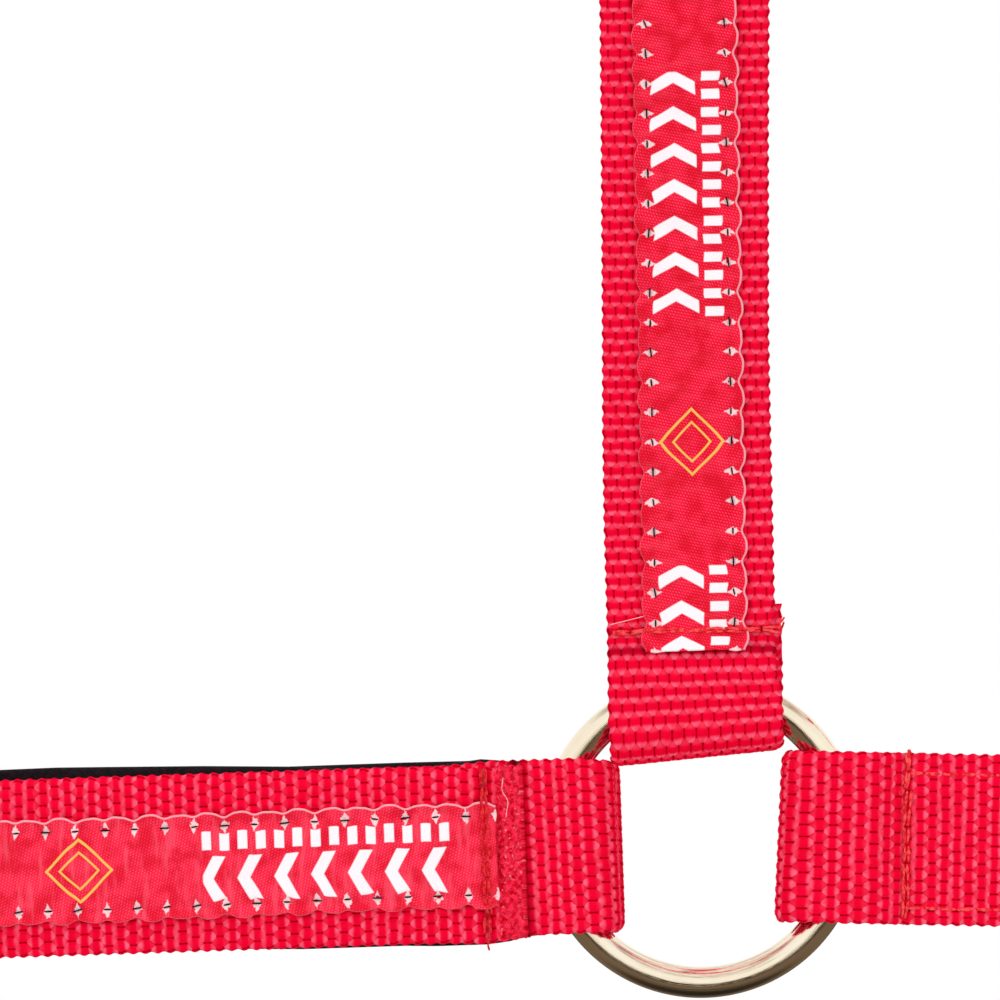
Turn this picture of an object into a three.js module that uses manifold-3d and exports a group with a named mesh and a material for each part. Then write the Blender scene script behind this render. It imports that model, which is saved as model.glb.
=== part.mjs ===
// Flat webbing halter (headcollar) in its worn, open shape, held at the poll.
// Millimetres, +Z up. The horse faces -X and its near (left) side is at -Y.
// The origin is the middle of the crown padding's underside, where the halter rests on the poll.
import * as THREE from 'three';
import { mergeVertices } from 'three/addons/utils/BufferGeometryUtils.js';
import Module from 'manifold-3d';

const wasm = await Module();
wasm.setup();

// ---- driving dimensions ----
const GAP = 0.3;              // clear space between neighbouring solids
const WEB_WIDTH = 25.2;       // webbing
const WEB_THICK = 1.8;
const CHIN_WIDTH = 25.2;
const CONNECTOR_WIDTH = 20;
const RIBBON_WIDTH = 15.6;
const RIBBON_THICK = 0.5;
const PAD_WIDTH = 27;
const PAD_THICK = 6;

const RING_RADIUS = 21.7;     // round rings, to the middle of the wire
const WIRE_RADIUS = 2.1;
const HALF_WIDTH = 64;        // side ring to the middle plane
const BROW_HALF_WIDTH = 88;   // upper square to the middle plane
const CROWN_DROP = 205;       // poll to the upper square's top bar, along the crown
const CHEEK_LENGTH = 205;     // side ring's centre to the square's bottom bar

const SQUARE_INNER = 34;
const SQUARE_BAR = 4.4;

const CROWN_TILT = 12;        // degrees, crown leaning back
const CHEEK_TILT = -1;
const NOSE_PITCH = -1.9;      // negative: the nose end is lower
const CHIN_PITCH = 1.2;       // positive: the rear end is lower
const THROAT_PITCH = 12;

const FLARE_SLOPE = 26;       // a loop's two layers closing up behind the wire
const FLARE_RADIUS = 5;
const FLARE_START = 23.8;     // from the ring's centre
const LOOP_END = 34;          // end of a loop's inner layer, from the ring's centre or the bar
const BAR_CLEAR = 6;          // from a bar to where the loop round it starts to close up
const LOOP_TAIL = 8;          // end of the cheek strap's inner layer, past its flare

const red = new THREE.MeshStandardMaterial({ color: 0xe8122e, roughness: 0.75, metalness: 0 });
const ribbonRed = new THREE.MeshStandardMaterial({ color: 0xf0243f, roughness: 0.45, metalness: 0 });
const black = new THREE.MeshStandardMaterial({ color: 0x1c181b, roughness: 0.85, metalness: 0 });
const gold = new THREE.MeshStandardMaterial({ color: 0xd8c29a, roughness: 0.15, metalness: 1 });
const steel = new THREE.MeshStandardMaterial({ color: 0x9a9a98, roughness: 0.3, metalness: 1 });

const rad = THREE.MathUtils.degToRad;
const LAYER = WEB_THICK / 2 + GAP / 2;   // a sewn double strap: each layer's middle from the middle line
const halter = new THREE.Group();
halter.name = 'halter';

// ---- outlines drawn move by move ----
class Route {
  constructor(x, y, headingDegrees) {
    this.points = [new THREE.Vector2(x, y)];
    this.heading = rad(headingDegrees);
  }
  get end() {
    return this.points[this.points.length - 1];
  }
  go(length) {
    const step = new THREE.Vector2(Math.cos(this.heading), Math.sin(this.heading));
    this.points.push(this.end.clone().addScaledVector(step, length));
    return this;
  }
  // straight on until the x or y coordinate has the given value
  reach(axis, value) {
    const slope = axis === 'x' ? Math.cos(this.heading) : Math.sin(this.heading);
    return this.go((value - this.end[axis]) / slope);
  }
  // positive degrees turn left
  turn(degrees, radius) {
    const count = Math.max(1, Math.ceil(Math.abs(degrees) / (radius > 20 ? 9 : 22.5)));
    const side = Math.sign(degrees);
    const toCentre = this.heading + side * Math.PI / 2;
    const centre = this.end.clone();
    centre.x += radius * Math.cos(toCentre);
    centre.y += radius * Math.sin(toCentre);
    for (let i = 1; i <= count; i++) {
      const angle = toCentre + Math.PI + rad(degrees) * i / count;
      const x = centre.x + radius * Math.cos(angle);
      this.points.push(new THREE.Vector2(x, centre.y + radius * Math.sin(angle)));
    }
    this.heading += rad(degrees);
    return this;
  }
  // an S-bend that moves the line sideways, positive to the left
  shift(sideways, slopeDegrees, radius) {
    const side = Math.sign(sideways);
    const slope = rad(slopeDegrees);
    const straight = (Math.abs(sideways) - 2 * radius * (1 - Math.cos(slope))) / Math.sin(slope);
    this.turn(side * slopeDegrees, radius).go(straight);
    return this.turn(-side * slopeDegrees, radius);
  }
}

// the same line moved sideways, positive to the left
function parallel(points, distance) {
  return points.map((point, i) => {
    const before = points[Math.max(i - 1, 0)];
    const after = points[Math.min(i + 1, points.length - 1)];
    const a = point.clone().sub(before);
    const b = after.clone().sub(point);
    if (a.lengthSq() === 0) a.copy(b);
    if (b.lengthSq() === 0) b.copy(a);
    a.normalize();
    b.normalize();
    const normal = new THREE.Vector2(-a.y - b.y, a.x + b.x).normalize();
    const reach = distance / Math.max(normal.dot(new THREE.Vector2(-a.y, a.x)), 0.5);
    return point.clone().addScaledVector(normal, reach);
  });
}

function withoutRepeats(points) {
  return points.filter((point, i) => i === 0 || point.distanceTo(points[i - 1]) > 1e-4);
}

function mirrored(points) {
  return points.map((point) => new THREE.Vector2(point.x, -point.y)).reverse();
}

// the part of a line after it first passes a value of its x or y coordinate
function after(points, axis, value) {
  const first = points.findIndex((point) => (point[axis] - value) * (points[0][axis] - value) <= 0);
  const [a, b] = [points[first - 1], points[first]];
  const start = a.clone().lerp(b, (value - a[axis]) / (b[axis] - a[axis]));
  return withoutRepeats([start, ...points.slice(first)]);
}

// ---- solids ----
// a strap whose middle line lies in the local XY plane and whose width is along local Z
function band(points, width, thickness) {
  const line = withoutRepeats(points);
  const outline = [...parallel(line, thickness / 2), ...parallel(line, -thickness / 2).reverse()];
  return prism(new THREE.Shape(outline), width);
}

function prism(shape, depth, segments = 8) {
  const geometry = new THREE.ExtrudeGeometry(shape, {
    depth, bevelEnabled: false, curveSegments: segments,
  });
  return geometry.translate(0, 0, -depth / 2);
}

function cylinder(radius, length, segments = 16) {
  return new THREE.CylinderGeometry(radius, radius, length, segments);
}

function torus(radius, wire, around, section) {
  const profile = [];
  for (let i = 0; i <= section; i++) {
    const angle = 2 * Math.PI * (i % section) / section;
    profile.push(new THREE.Vector2(radius + wire * Math.cos(angle), wire * Math.sin(angle)));
  }
  return new THREE.LatheGeometry(profile, around);
}

// a round bar bent along points
function rod(points, radius, sections, steps) {
  const circle = new THREE.Shape().absarc(0, 0, radius, 0, 2 * Math.PI);
  return new THREE.ExtrudeGeometry(circle, {
    steps, curveSegments: sections, bevelEnabled: false, extrudePath: new THREE.CatmullRomCurve3(points),
  });
}

function toSolid(geometry) {
  let plain = geometry.clone();
  plain.deleteAttribute('normal');
  plain.deleteAttribute('uv');
  plain = mergeVertices(plain, 1e-4);
  return new wasm.Manifold(new wasm.Mesh({
    numProp: 3,
    vertProperties: new Float32Array(plain.attributes.position.array),
    triVerts: new Uint32Array(plain.index.array),
  }));
}

function toGeometry(solid) {
  const mesh = solid.getMesh();
  const geometry = new THREE.BufferGeometry();
  geometry.setAttribute('position', new THREE.BufferAttribute(new Float32Array(mesh.vertProperties), 3));
  geometry.setIndex(new THREE.BufferAttribute(new Uint32Array(mesh.triVerts), 1));
  return geometry;
}

function joined(first, ...others) {
  return toGeometry(others.reduce((sum, next) => sum.add(toSolid(next)), toSolid(first)));
}

function cut(body, ...tools) {
  return toGeometry(tools.reduce((rest, tool) => rest.subtract(toSolid(tool)), toSolid(body)));
}

function add(parent, name, geometry, material) {
  const mesh = new THREE.Mesh(geometry, material);
  mesh.name = name;
  parent.add(mesh);
  return mesh;
}

function frame(parent, x, y, z, tiltDegrees = 0) {
  const group = new THREE.Group();
  group.position.set(x, y, z);
  group.rotation.y = rad(tiltDegrees);
  parent.add(group);
  return group;
}

// turns a local XY drawing into the parent's YZ plane, with the width along X
function sideways(parent) {
  const group = new THREE.Group();
  const axes = [new THREE.Vector3(0, 1, 0), new THREE.Vector3(0, 0, 1), new THREE.Vector3(1, 0, 0)];
  group.setRotationFromMatrix(new THREE.Matrix4().makeBasis(...axes));
  parent.add(group);
  return group;
}

// ---- places, worked out from the driving dimensions ----
const squareHalf = (SQUARE_INNER + SQUARE_BAR) / 2;      // square's centre to a bar's middle
const squareTilt = (CROWN_TILT + CHEEK_TILT) / 2;
const along = (tilt, length) => new THREE.Vector2(Math.sin(rad(tilt)) * length, Math.cos(rad(tilt)) * length);
const topBar = along(CROWN_TILT, -CROWN_DROP);
const squareCentre = topBar.clone().sub(along(squareTilt, squareHalf));
const bottomBar = squareCentre.clone().sub(along(squareTilt, squareHalf));
const ringCentre = bottomBar.clone().sub(along(CHEEK_TILT, CHEEK_LENGTH));

// A flat strap touches a round ring's wire only at its edges, so its fold sits inside the ring.
// Gives the fold's middle, from the ring's centre, for a strap reaching this far to one side.
function foldCentre(reach) {
  return Math.sqrt((RING_RADIUS - WIRE_RADIUS) ** 2 - reach ** 2) + WIRE_RADIUS;
}

const WIRE_FOLD = WIRE_RADIUS + GAP + WEB_THICK / 2;               // fold radius round a ring's wire
const BAR_FOLD = SQUARE_BAR / 2 + 0.6 + WEB_THICK / 2;             // fold radius round a square's bar
const skewRoom = WEB_WIDTH / 2 * Math.sin(rad((CROWN_TILT - CHEEK_TILT) / 2)) + 0.2;

// ---- noseband, drawn in plan with the side rings on the Y axis ----
const NOSE_STRAIGHT = 38;       // from the ring's centre to where the noseband starts to curve
const NOSE_SIDE_TURN = 11.5;    // degrees, the long curve along the side of the nose
const NOSE_SIDE_RADIUS = 300;
const NOSE_DROP = -1.1;         // strap's middle below the ring's centre
const noseFrontRadius = (HALF_WIDTH - NOSE_SIDE_RADIUS * (1 - Math.cos(rad(NOSE_SIDE_TURN))))
  / Math.cos(rad(NOSE_SIDE_TURN));
const TOP_LAYER_START = 26;     // raw end of the top webbing, from the ring's centre
const NOSE_RIBBON_START = 30;
const NOSE_PAD_START = 24.4;

// one layer from the near side ring's fold to the middle of the nose; outside is -1 for the inner layer
function noseLayer(outside) {
  const fold = foldCentre(WEB_WIDTH / 2 - NOSE_DROP);
  const route = new Route(-fold, -HALF_WIDTH - outside * WIRE_FOLD, 180);
  route.reach('x', -FLARE_START).shift(-outside * (WIRE_FOLD - LAYER), FLARE_SLOPE, FLARE_RADIUS);
  route.reach('x', -NOSE_STRAIGHT);
  route.turn(-NOSE_SIDE_TURN, NOSE_SIDE_RADIUS + outside * LAYER);
  route.turn(NOSE_SIDE_TURN - 90, noseFrontRadius + outside * LAYER);
  return route.points;
}

function makeNoseband() {
  const group = frame(halter, ringCentre.x, 0, ringCentre.y, NOSE_PITCH);
  const plan = frame(group, 0, 0, NOSE_DROP);
  const outer = noseLayer(1);
  const inner = noseLayer(-1);
  const fold = new Route(inner[0].x, inner[0].y, 0).turn(-180, WIRE_FOLD).points;
  const stop = inner[inner.length - 1].clone();
  stop.y -= GAP;                // the inner layer's two ends stop short of each other
  const half = [stop, ...inner.slice(0, -1).reverse(), ...fold.slice(1), ...outer.slice(1)];
  const base = [...half, ...mirrored(half).slice(1)];
  add(plan, 'noseband_base_webbing', band(base, WEB_WIDTH, WEB_THICK), red);

  const wrap = (line, start, distance) => {
    const side = after(parallel(line, distance), 'x', -start);
    return [...side, ...mirrored(side).slice(1)];
  };
  const top = wrap(outer, TOP_LAYER_START, WEB_THICK + GAP);
  add(plan, 'noseband_top_webbing', band(top, WEB_WIDTH, WEB_THICK), red);
  const ribbonLift = 1.5 * WEB_THICK + 2 * GAP + RIBBON_THICK / 2;
  const ribbon = wrap(outer, NOSE_RIBBON_START, ribbonLift);
  add(plan, 'noseband_ribbon', band(ribbon, RIBBON_WIDTH, RIBBON_THICK), ribbonRed);
  const padding = wrap(inner, NOSE_PAD_START, -(WEB_THICK / 2 + GAP + PAD_THICK / 2));
  add(plan, 'noseband_padding', band(padding, PAD_WIDTH, PAD_THICK), black);
}

// ---- chin straps and chin ring, in plan ----
const CHIN_STRAIGHT = 38;
const CHIN_SIDE_TURN = 10;
const CHIN_SIDE_RADIUS = 200;
const CHIN_CORNER_RADIUS = 26;
const CHIN_RISE = 0.26;         // strap's middle above the ring's centre
const CHIN_LOOP_END = 33;       // end of the inner layer at the chin ring, from that ring's centre

function chinLine() {
  const foldX = foldCentre(CHIN_WIDTH / 2 + CHIN_RISE);
  const foldY = foldCentre(CHIN_WIDTH / 2);
  const close = WIRE_FOLD - LAYER;
  const route = new Route(LOOP_END, -HALF_WIDTH + LAYER, 180);
  route.reach('x', FLARE_START + flareLength(close)).shift(-close, FLARE_SLOPE, FLARE_RADIUS);
  route.reach('x', foldX).turn(180, WIRE_FOLD);
  route.reach('x', FLARE_START).shift(close, FLARE_SLOPE, FLARE_RADIUS).reach('x', CHIN_STRAIGHT);
  route.turn(CHIN_SIDE_TURN, CHIN_SIDE_RADIUS + LAYER);
  route.turn(90 - CHIN_SIDE_TURN, CHIN_CORNER_RADIUS + LAYER);
  const rear = route.end.x - LAYER;
  route.reach('y', -FLARE_START - flareLength(close)).shift(-close, FLARE_SLOPE, FLARE_RADIUS);
  route.reach('y', -foldY).turn(180, WIRE_FOLD);
  route.reach('y', -FLARE_START).shift(close, FLARE_SLOPE, FLARE_RADIUS).reach('y', -CHIN_LOOP_END);
  return { points: route.points, rear };
}

function flareLength(sideways) {
  const route = new Route(0, 0, 0).shift(sideways, FLARE_SLOPE, FLARE_RADIUS);
  return route.end.x;
}

function makeChin() {
  const group = frame(halter, ringCentre.x, 0, ringCentre.y, CHIN_PITCH);
  const plan = frame(group, 0, 0, CHIN_RISE);
  const { points, rear } = chinLine();
  add(plan, 'chin_strap_near', band(points, CHIN_WIDTH, WEB_THICK), red);
  add(plan, 'chin_strap_off', band(mirrored(points), CHIN_WIDTH, WEB_THICK), red);
  const ring = frame(plan, rear, 0, 0);
  const mesh = add(ring, 'chin_ring', torus(RING_RADIUS, WIRE_RADIUS, 36, 8), gold);
  mesh.rotation.z = Math.PI / 2;
  const place = new THREE.Vector2(rear, CHIN_RISE).rotateAround(new THREE.Vector2(), -rad(CHIN_PITCH));
  return place.add(ringCentre);
}

// ---- side rings and cheek straps ----
const CHEEK_LEAN = 10.5;             // degrees outwards on the way up
const CHEEK_BEND = 100;
const CHEEK_SHIFT = -0.3;         // strap's middle in front of the ring's centre
const RIBBON_ABOVE_RING = 26.6;
const RIBBON_BELOW_SQUARE = 30;

// the near strap's outer layer from the ring's fold to the square's fold
function cheekOuter() {
  const low = foldCentre(WEB_WIDTH / 2 - CHEEK_SHIFT);
  const route = new Route(-HALF_WIDTH - WIRE_FOLD, low, 90);
  route.reach('y', FLARE_START).shift(LAYER - WIRE_FOLD, FLARE_SLOPE, FLARE_RADIUS);
  route.reach('y', LOOP_END + 4).shift(BROW_HALF_WIDTH - HALF_WIDTH, CHEEK_LEAN, CHEEK_BEND);
  const close = BAR_FOLD - LAYER;
  route.reach('y', CHEEK_LENGTH - skewRoom - BAR_CLEAR - flareLength(close));
  return route.shift(close, FLARE_SLOPE, FLARE_RADIUS).reach('y', CHEEK_LENGTH + skewRoom);
}

function cheekLine() {
  const low = new Route(-HALF_WIDTH + LAYER, LOOP_END, 270);
  low.reach('y', FLARE_START + flareLength(WIRE_FOLD - LAYER));
  low.shift(WIRE_FOLD - LAYER, FLARE_SLOPE, FLARE_RADIUS);
  low.reach('y', foldCentre(WEB_WIDTH / 2 - CHEEK_SHIFT)).turn(-180, WIRE_FOLD);
  const high = cheekOuter().turn(-180, BAR_FOLD);
  high.reach('y', CHEEK_LENGTH - skewRoom - BAR_CLEAR);
  high.shift(LAYER - BAR_FOLD, FLARE_SLOPE, FLARE_RADIUS).go(LOOP_TAIL);
  return [...low.points, ...high.points.slice(1)];
}

function cheekRibbon() {
  const line = after(cheekOuter().points, 'y', RIBBON_ABOVE_RING);
  const upTo = after([...line].reverse(), 'y', CHEEK_LENGTH - RIBBON_BELOW_SQUARE).reverse();
  return parallel(upTo, WEB_THICK / 2 + GAP + RIBBON_THICK / 2);
}

function makeCheeks() {
  const group = frame(halter, ringCentre.x, 0, ringCentre.y);
  for (const [side, sign] of [['near', -1], ['off', 1]]) {
    const ring = add(group, `side_ring_${side}`, torus(RING_RADIUS, WIRE_RADIUS, 36, 8), gold);
    ring.position.y = sign * HALF_WIDTH;
  }
  const plane = sideways(frame(group, 0, 0, 0, CHEEK_TILT));
  plane.position.x = CHEEK_SHIFT;
  const flip = (points) => points.map((point) => new THREE.Vector2(-point.x, point.y)).reverse();
  const strap = cheekLine();
  const ribbon = cheekRibbon();
  add(plane, 'cheek_strap_near', band(strap, WEB_WIDTH, WEB_THICK), red);
  add(plane, 'cheek_strap_off', band(flip(strap), WEB_WIDTH, WEB_THICK), red);
  add(plane, 'cheek_ribbon_near', band(ribbon, RIBBON_WIDTH, RIBBON_THICK), ribbonRed);
  add(plane, 'cheek_ribbon_off', band(flip(ribbon), RIBBON_WIDTH, RIBBON_THICK), ribbonRed);
}

// ---- upper squares ----
function roundedRectangle(width, height, corner) {
  const [x, y] = [width / 2, height / 2];
  const shape = new THREE.Shape();
  shape.moveTo(x, -y + corner);
  shape.absarc(x - corner, y - corner, corner, 0, Math.PI / 2);
  shape.absarc(-x + corner, y - corner, corner, Math.PI / 2, Math.PI);
  shape.absarc(-x + corner, -y + corner, corner, Math.PI, 1.5 * Math.PI);
  shape.absarc(x - corner, -y + corner, corner, 1.5 * Math.PI, 2 * Math.PI);
  return shape;
}

function squareFrame(innerWidth, innerHeight, bar, depth) {
  const bevel = bar / 4;
  const outerWidth = innerWidth + 2 * bar;
  const outerHeight = innerHeight + 2 * bar;
  const shape = roundedRectangle(outerWidth - 2 * bevel, outerHeight - 2 * bevel, bar);
  shape.holes.push(roundedRectangle(innerWidth + 2 * bevel, innerHeight + 2 * bevel, bar / 2));
  const geometry = new THREE.ExtrudeGeometry(shape, {
    depth: depth - 2 * bevel, curveSegments: 3,
    bevelSize: bevel, bevelThickness: bevel, bevelSegments: 1,
  });
  return geometry.translate(0, 0, -depth / 2 + bevel);
}

function makeSquares() {
  const group = frame(halter, squareCentre.x, 0, squareCentre.y, squareTilt);
  for (const [side, sign] of [['near', -1], ['off', 1]]) {
    const geometry = squareFrame(SQUARE_INNER, SQUARE_INNER, SQUARE_BAR, SQUARE_BAR);
    const square = add(group, `cheek_square_${side}`, geometry, gold);
    square.rotation.x = Math.PI / 2;
    square.position.y = sign * BROW_HALF_WIDTH;
  }
}

// ---- crown, drawn in its own leaning plane: x is the Y axis, y runs up along the crown ----
const CROWN_FLAT = 15;            // half the flat stretch on the poll
const CROWN_RADIUS = 60;
const crownTop = PAD_THICK + GAP + WEB_THICK / 2;                  // strap's middle above the poll
const crownRise = crownTop - LAYER + CROWN_DROP;                   // from the square's top bar
const crownAcross = BROW_HALF_WIDTH - CROWN_FLAT;
const crownSpan = Math.hypot(crownAcross, crownRise - CROWN_RADIUS);
const CROWN_LEAN = THREE.MathUtils.radToDeg(
  Math.atan2(crownAcross, crownRise - CROWN_RADIUS) - Math.asin(CROWN_RADIUS / crownSpan),
);
const crownStraight = Math.sqrt(crownSpan ** 2 - CROWN_RADIUS ** 2);

// buckle, measured up the near side from the square's top bar
const HEEL = 80;                  // heel bar
const ROLLER = 26;                // heel bar to roller bar
const HEEL_RADIUS = 1.8;
const HEEL_FOLD = HEEL_RADIUS + GAP + WEB_THICK / 2;
const ROLLER_BAR_RADIUS = 1.5;
const ROLLER_RADIUS = 3.1;
const TAIL_LIFT = 5.9;            // crown strap's middle over the heel bar
const BEHIND_ROLLER = ROLLER_RADIUS + GAP + WEB_THICK / 2;
const RAMP_SLOPE = 38;
const RAMP_RADIUS = 5;
const RAMP_TOP = 18.2;            // heel bar to the ramp's end next to the roller
const TAIL_END = 18;
const BEHIND_START = 57;          // heel bar to where the strap starts to go behind the roller
const BEHIND_SLOPE = 20;
const BEHIND_RADIUS = 12;
const EYELET_HOLE = 3.0;
const EYELET_BARREL = 3.4;
const EYELET_FLANGE = 4.4;
const EYELET_PITCH = 25;
const TONGUE_CROSSING = 9.0;      // heel bar to the engaged eyelet, on the ramp
const CROSSING_LIFT = 1.53;
// eyelets on the near side: distance up, distance outwards, slope in degrees
const EYELETS = [
  [HEEL + TONGUE_CROSSING - 2 * EYELET_PITCH + 0.8, TAIL_LIFT, 0],
  [HEEL + TONGUE_CROSSING - EYELET_PITCH + 0.8, TAIL_LIFT, 0],
  [HEEL + TONGUE_CROSSING, CROSSING_LIFT, RAMP_SLOPE],
  [HEEL + TONGUE_CROSSING + EYELET_PITCH, -BEHIND_ROLLER, 0],
];
const CROWN_PAD_OFF = 60;         // padding's ends, up from the top bars
const CROWN_PAD_NEAR = 141;

// (distance up a strap, distance outwards) at a square's top bar, in the crown's plane
function fromBar(points, sign) {
  const up = new THREE.Vector2(-sign * Math.sin(rad(CROWN_LEAN)), Math.cos(rad(CROWN_LEAN)));
  const out = new THREE.Vector2(sign * Math.cos(rad(CROWN_LEAN)), Math.sin(rad(CROWN_LEAN)));
  const bar = new THREE.Vector2(sign * BROW_HALF_WIDTH, -CROWN_DROP);
  return points.map((point) => bar.clone().addScaledVector(up, point.x).addScaledVector(out, point.y));
}

// a loop round a bar at the drawing's origin, from its inner layer's end to its outer layer;
// the outer layer is at positive y
function barLoop(layerEnd, foldRadius, room) {
  const close = foldRadius - LAYER;
  const clear = room + BAR_CLEAR;
  const route = new Route(layerEnd, -LAYER, 180).reach('x', clear + flareLength(close));
  route.shift(close, FLARE_SLOPE, FLARE_RADIUS).reach('x', -room).turn(-180, foldRadius);
  return route.reach('x', clear).shift(-close, FLARE_SLOPE, FLARE_RADIUS);
}

// the off side's loop, then over the poll and down the near side to the tail
function crownLine() {
  const off = fromBar(barLoop(LOOP_END, BAR_FOLD, skewRoom).reach('x', crownStraight).points, 1);
  const over = new Route(off[off.length - 1].x, off[off.length - 1].y, 90 + CROWN_LEAN);
  over.turn(90 - CROWN_LEAN, CROWN_RADIUS + LAYER).go(2 * CROWN_FLAT);
  over.turn(90 - CROWN_LEAN, CROWN_RADIUS + LAYER);
  const near = new Route(crownStraight, LAYER, 180);
  near.reach('x', HEEL + BEHIND_START).shift(LAYER + BEHIND_ROLLER, BEHIND_SLOPE, BEHIND_RADIUS);
  near.reach('x', HEEL + RAMP_TOP).shift(-BEHIND_ROLLER - TAIL_LIFT, RAMP_SLOPE, RAMP_RADIUS);
  near.reach('x', TAIL_END);
  return [...off, ...over.points.slice(1), ...fromBar(near.points.slice(1), -1)];
}

// the stretch of the crown strap's middle line that carries the padding and the ribbon
function crownArch(offStart, nearEnd, distance) {
  const off = fromBar([new THREE.Vector2(offStart, LAYER), new THREE.Vector2(crownStraight, LAYER)], 1);
  const over = new Route(off[1].x, off[1].y, 90 + CROWN_LEAN);
  over.turn(90 - CROWN_LEAN, CROWN_RADIUS + LAYER).go(2 * CROWN_FLAT);
  over.turn(90 - CROWN_LEAN, CROWN_RADIUS + LAYER);
  const near = fromBar([new THREE.Vector2(nearEnd, LAYER)], -1);
  return parallel([...off, ...over.points.slice(1), ...near], distance);
}

function makeCrown() {
  const group = frame(halter, 0, 0, 0, CROWN_TILT);
  const plane = sideways(group);
  const near = new THREE.Group();
  const lean = rad(CROWN_LEAN);
  const up = new THREE.Vector3(0, Math.sin(lean), Math.cos(lean));
  const out = new THREE.Vector3(0, -Math.cos(lean), Math.sin(lean));
  near.setRotationFromMatrix(new THREE.Matrix4().makeBasis(up, out, new THREE.Vector3(1, 0, 0)));
  near.position.set(0, -BROW_HALF_WIDTH, -CROWN_DROP);
  group.add(near);

  const holes = EYELETS.map(([x, y, slope]) => {
    const hole = cylinder(EYELET_BARREL + GAP, 8).rotateZ(-rad(slope)).translate(x, y, 0);
    return hole.applyMatrix4(new THREE.Matrix4().compose(near.position, near.quaternion, near.scale));
  });
  const toPlane = new THREE.Matrix4().compose(plane.position, plane.quaternion, plane.scale).invert();
  const strap = band(crownLine(), WEB_WIDTH, WEB_THICK);
  add(plane, 'crown_strap', cut(strap, ...holes.map((hole) => hole.applyMatrix4(toPlane))), red);
  const inwards = WEB_THICK / 2 + GAP + PAD_THICK / 2;
  const padding = crownArch(CROWN_PAD_OFF, CROWN_PAD_NEAR, inwards);
  add(plane, 'crown_padding', band(padding, PAD_WIDTH, PAD_THICK), black);
  const ribbon = crownArch(CROWN_PAD_OFF, CROWN_PAD_NEAR, -(WEB_THICK + RIBBON_THICK) / 2 - GAP);
  add(plane, 'crown_ribbon', band(ribbon, RIBBON_WIDTH, RIBBON_THICK), ribbonRed);
  makeEyelets(near);
  makeBuckle(near);
}

function makeEyelets(parent) {
  const face = WEB_THICK / 2 + 0.2;
  const edge = face + 0.4;
  const profile = [
    [EYELET_HOLE, -edge], [EYELET_FLANGE, -edge], [EYELET_FLANGE, -face], [EYELET_BARREL, -face],
    [EYELET_BARREL, face], [EYELET_FLANGE, face], [EYELET_FLANGE, edge], [EYELET_HOLE, edge],
    [EYELET_HOLE, -edge],
  ].map(([x, y]) => new THREE.Vector2(x, y));
  EYELETS.forEach(([x, y, slope], i) => {
    const mesh = add(parent, `crown_eyelet_${i + 1}`, new THREE.LatheGeometry(profile, 16), gold);
    mesh.position.set(x, y, 0);
    mesh.rotation.z = -rad(slope);
  });
}

// ---- buckle on the near side, drawn as (up, outwards, across) from the square's top bar ----
const ARM_THICK = 3;
const ARM_HEIGHT = 5;
const ARM_AT = WEB_WIDTH / 2 + 1 + ARM_THICK / 2;
const TONGUE_RADIUS = 1.2;
const TONGUE_EYE = 2.1;
const TONGUE_LINE = [[2.8, -0.2], [6.2, -1.0], [8.0, 0.6], [11.8, 4.2], [14.5, 4.8], [21, 4.75], [28, 4.6]];
const HEEL_CLEAR = 8;             // heel bar to where the buckle strap's loop closes up
const SLIT = [11, 6];             // tongue's slit in that loop: along the strap, across it
const KEEPER_ROOM = 1;
const KEEPER_THICK = 1.6;
const KEEPER_LENGTH = 10;
const KEEPERS = [['keeper_upper', 53], ['keeper_lower', 27]];

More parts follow.
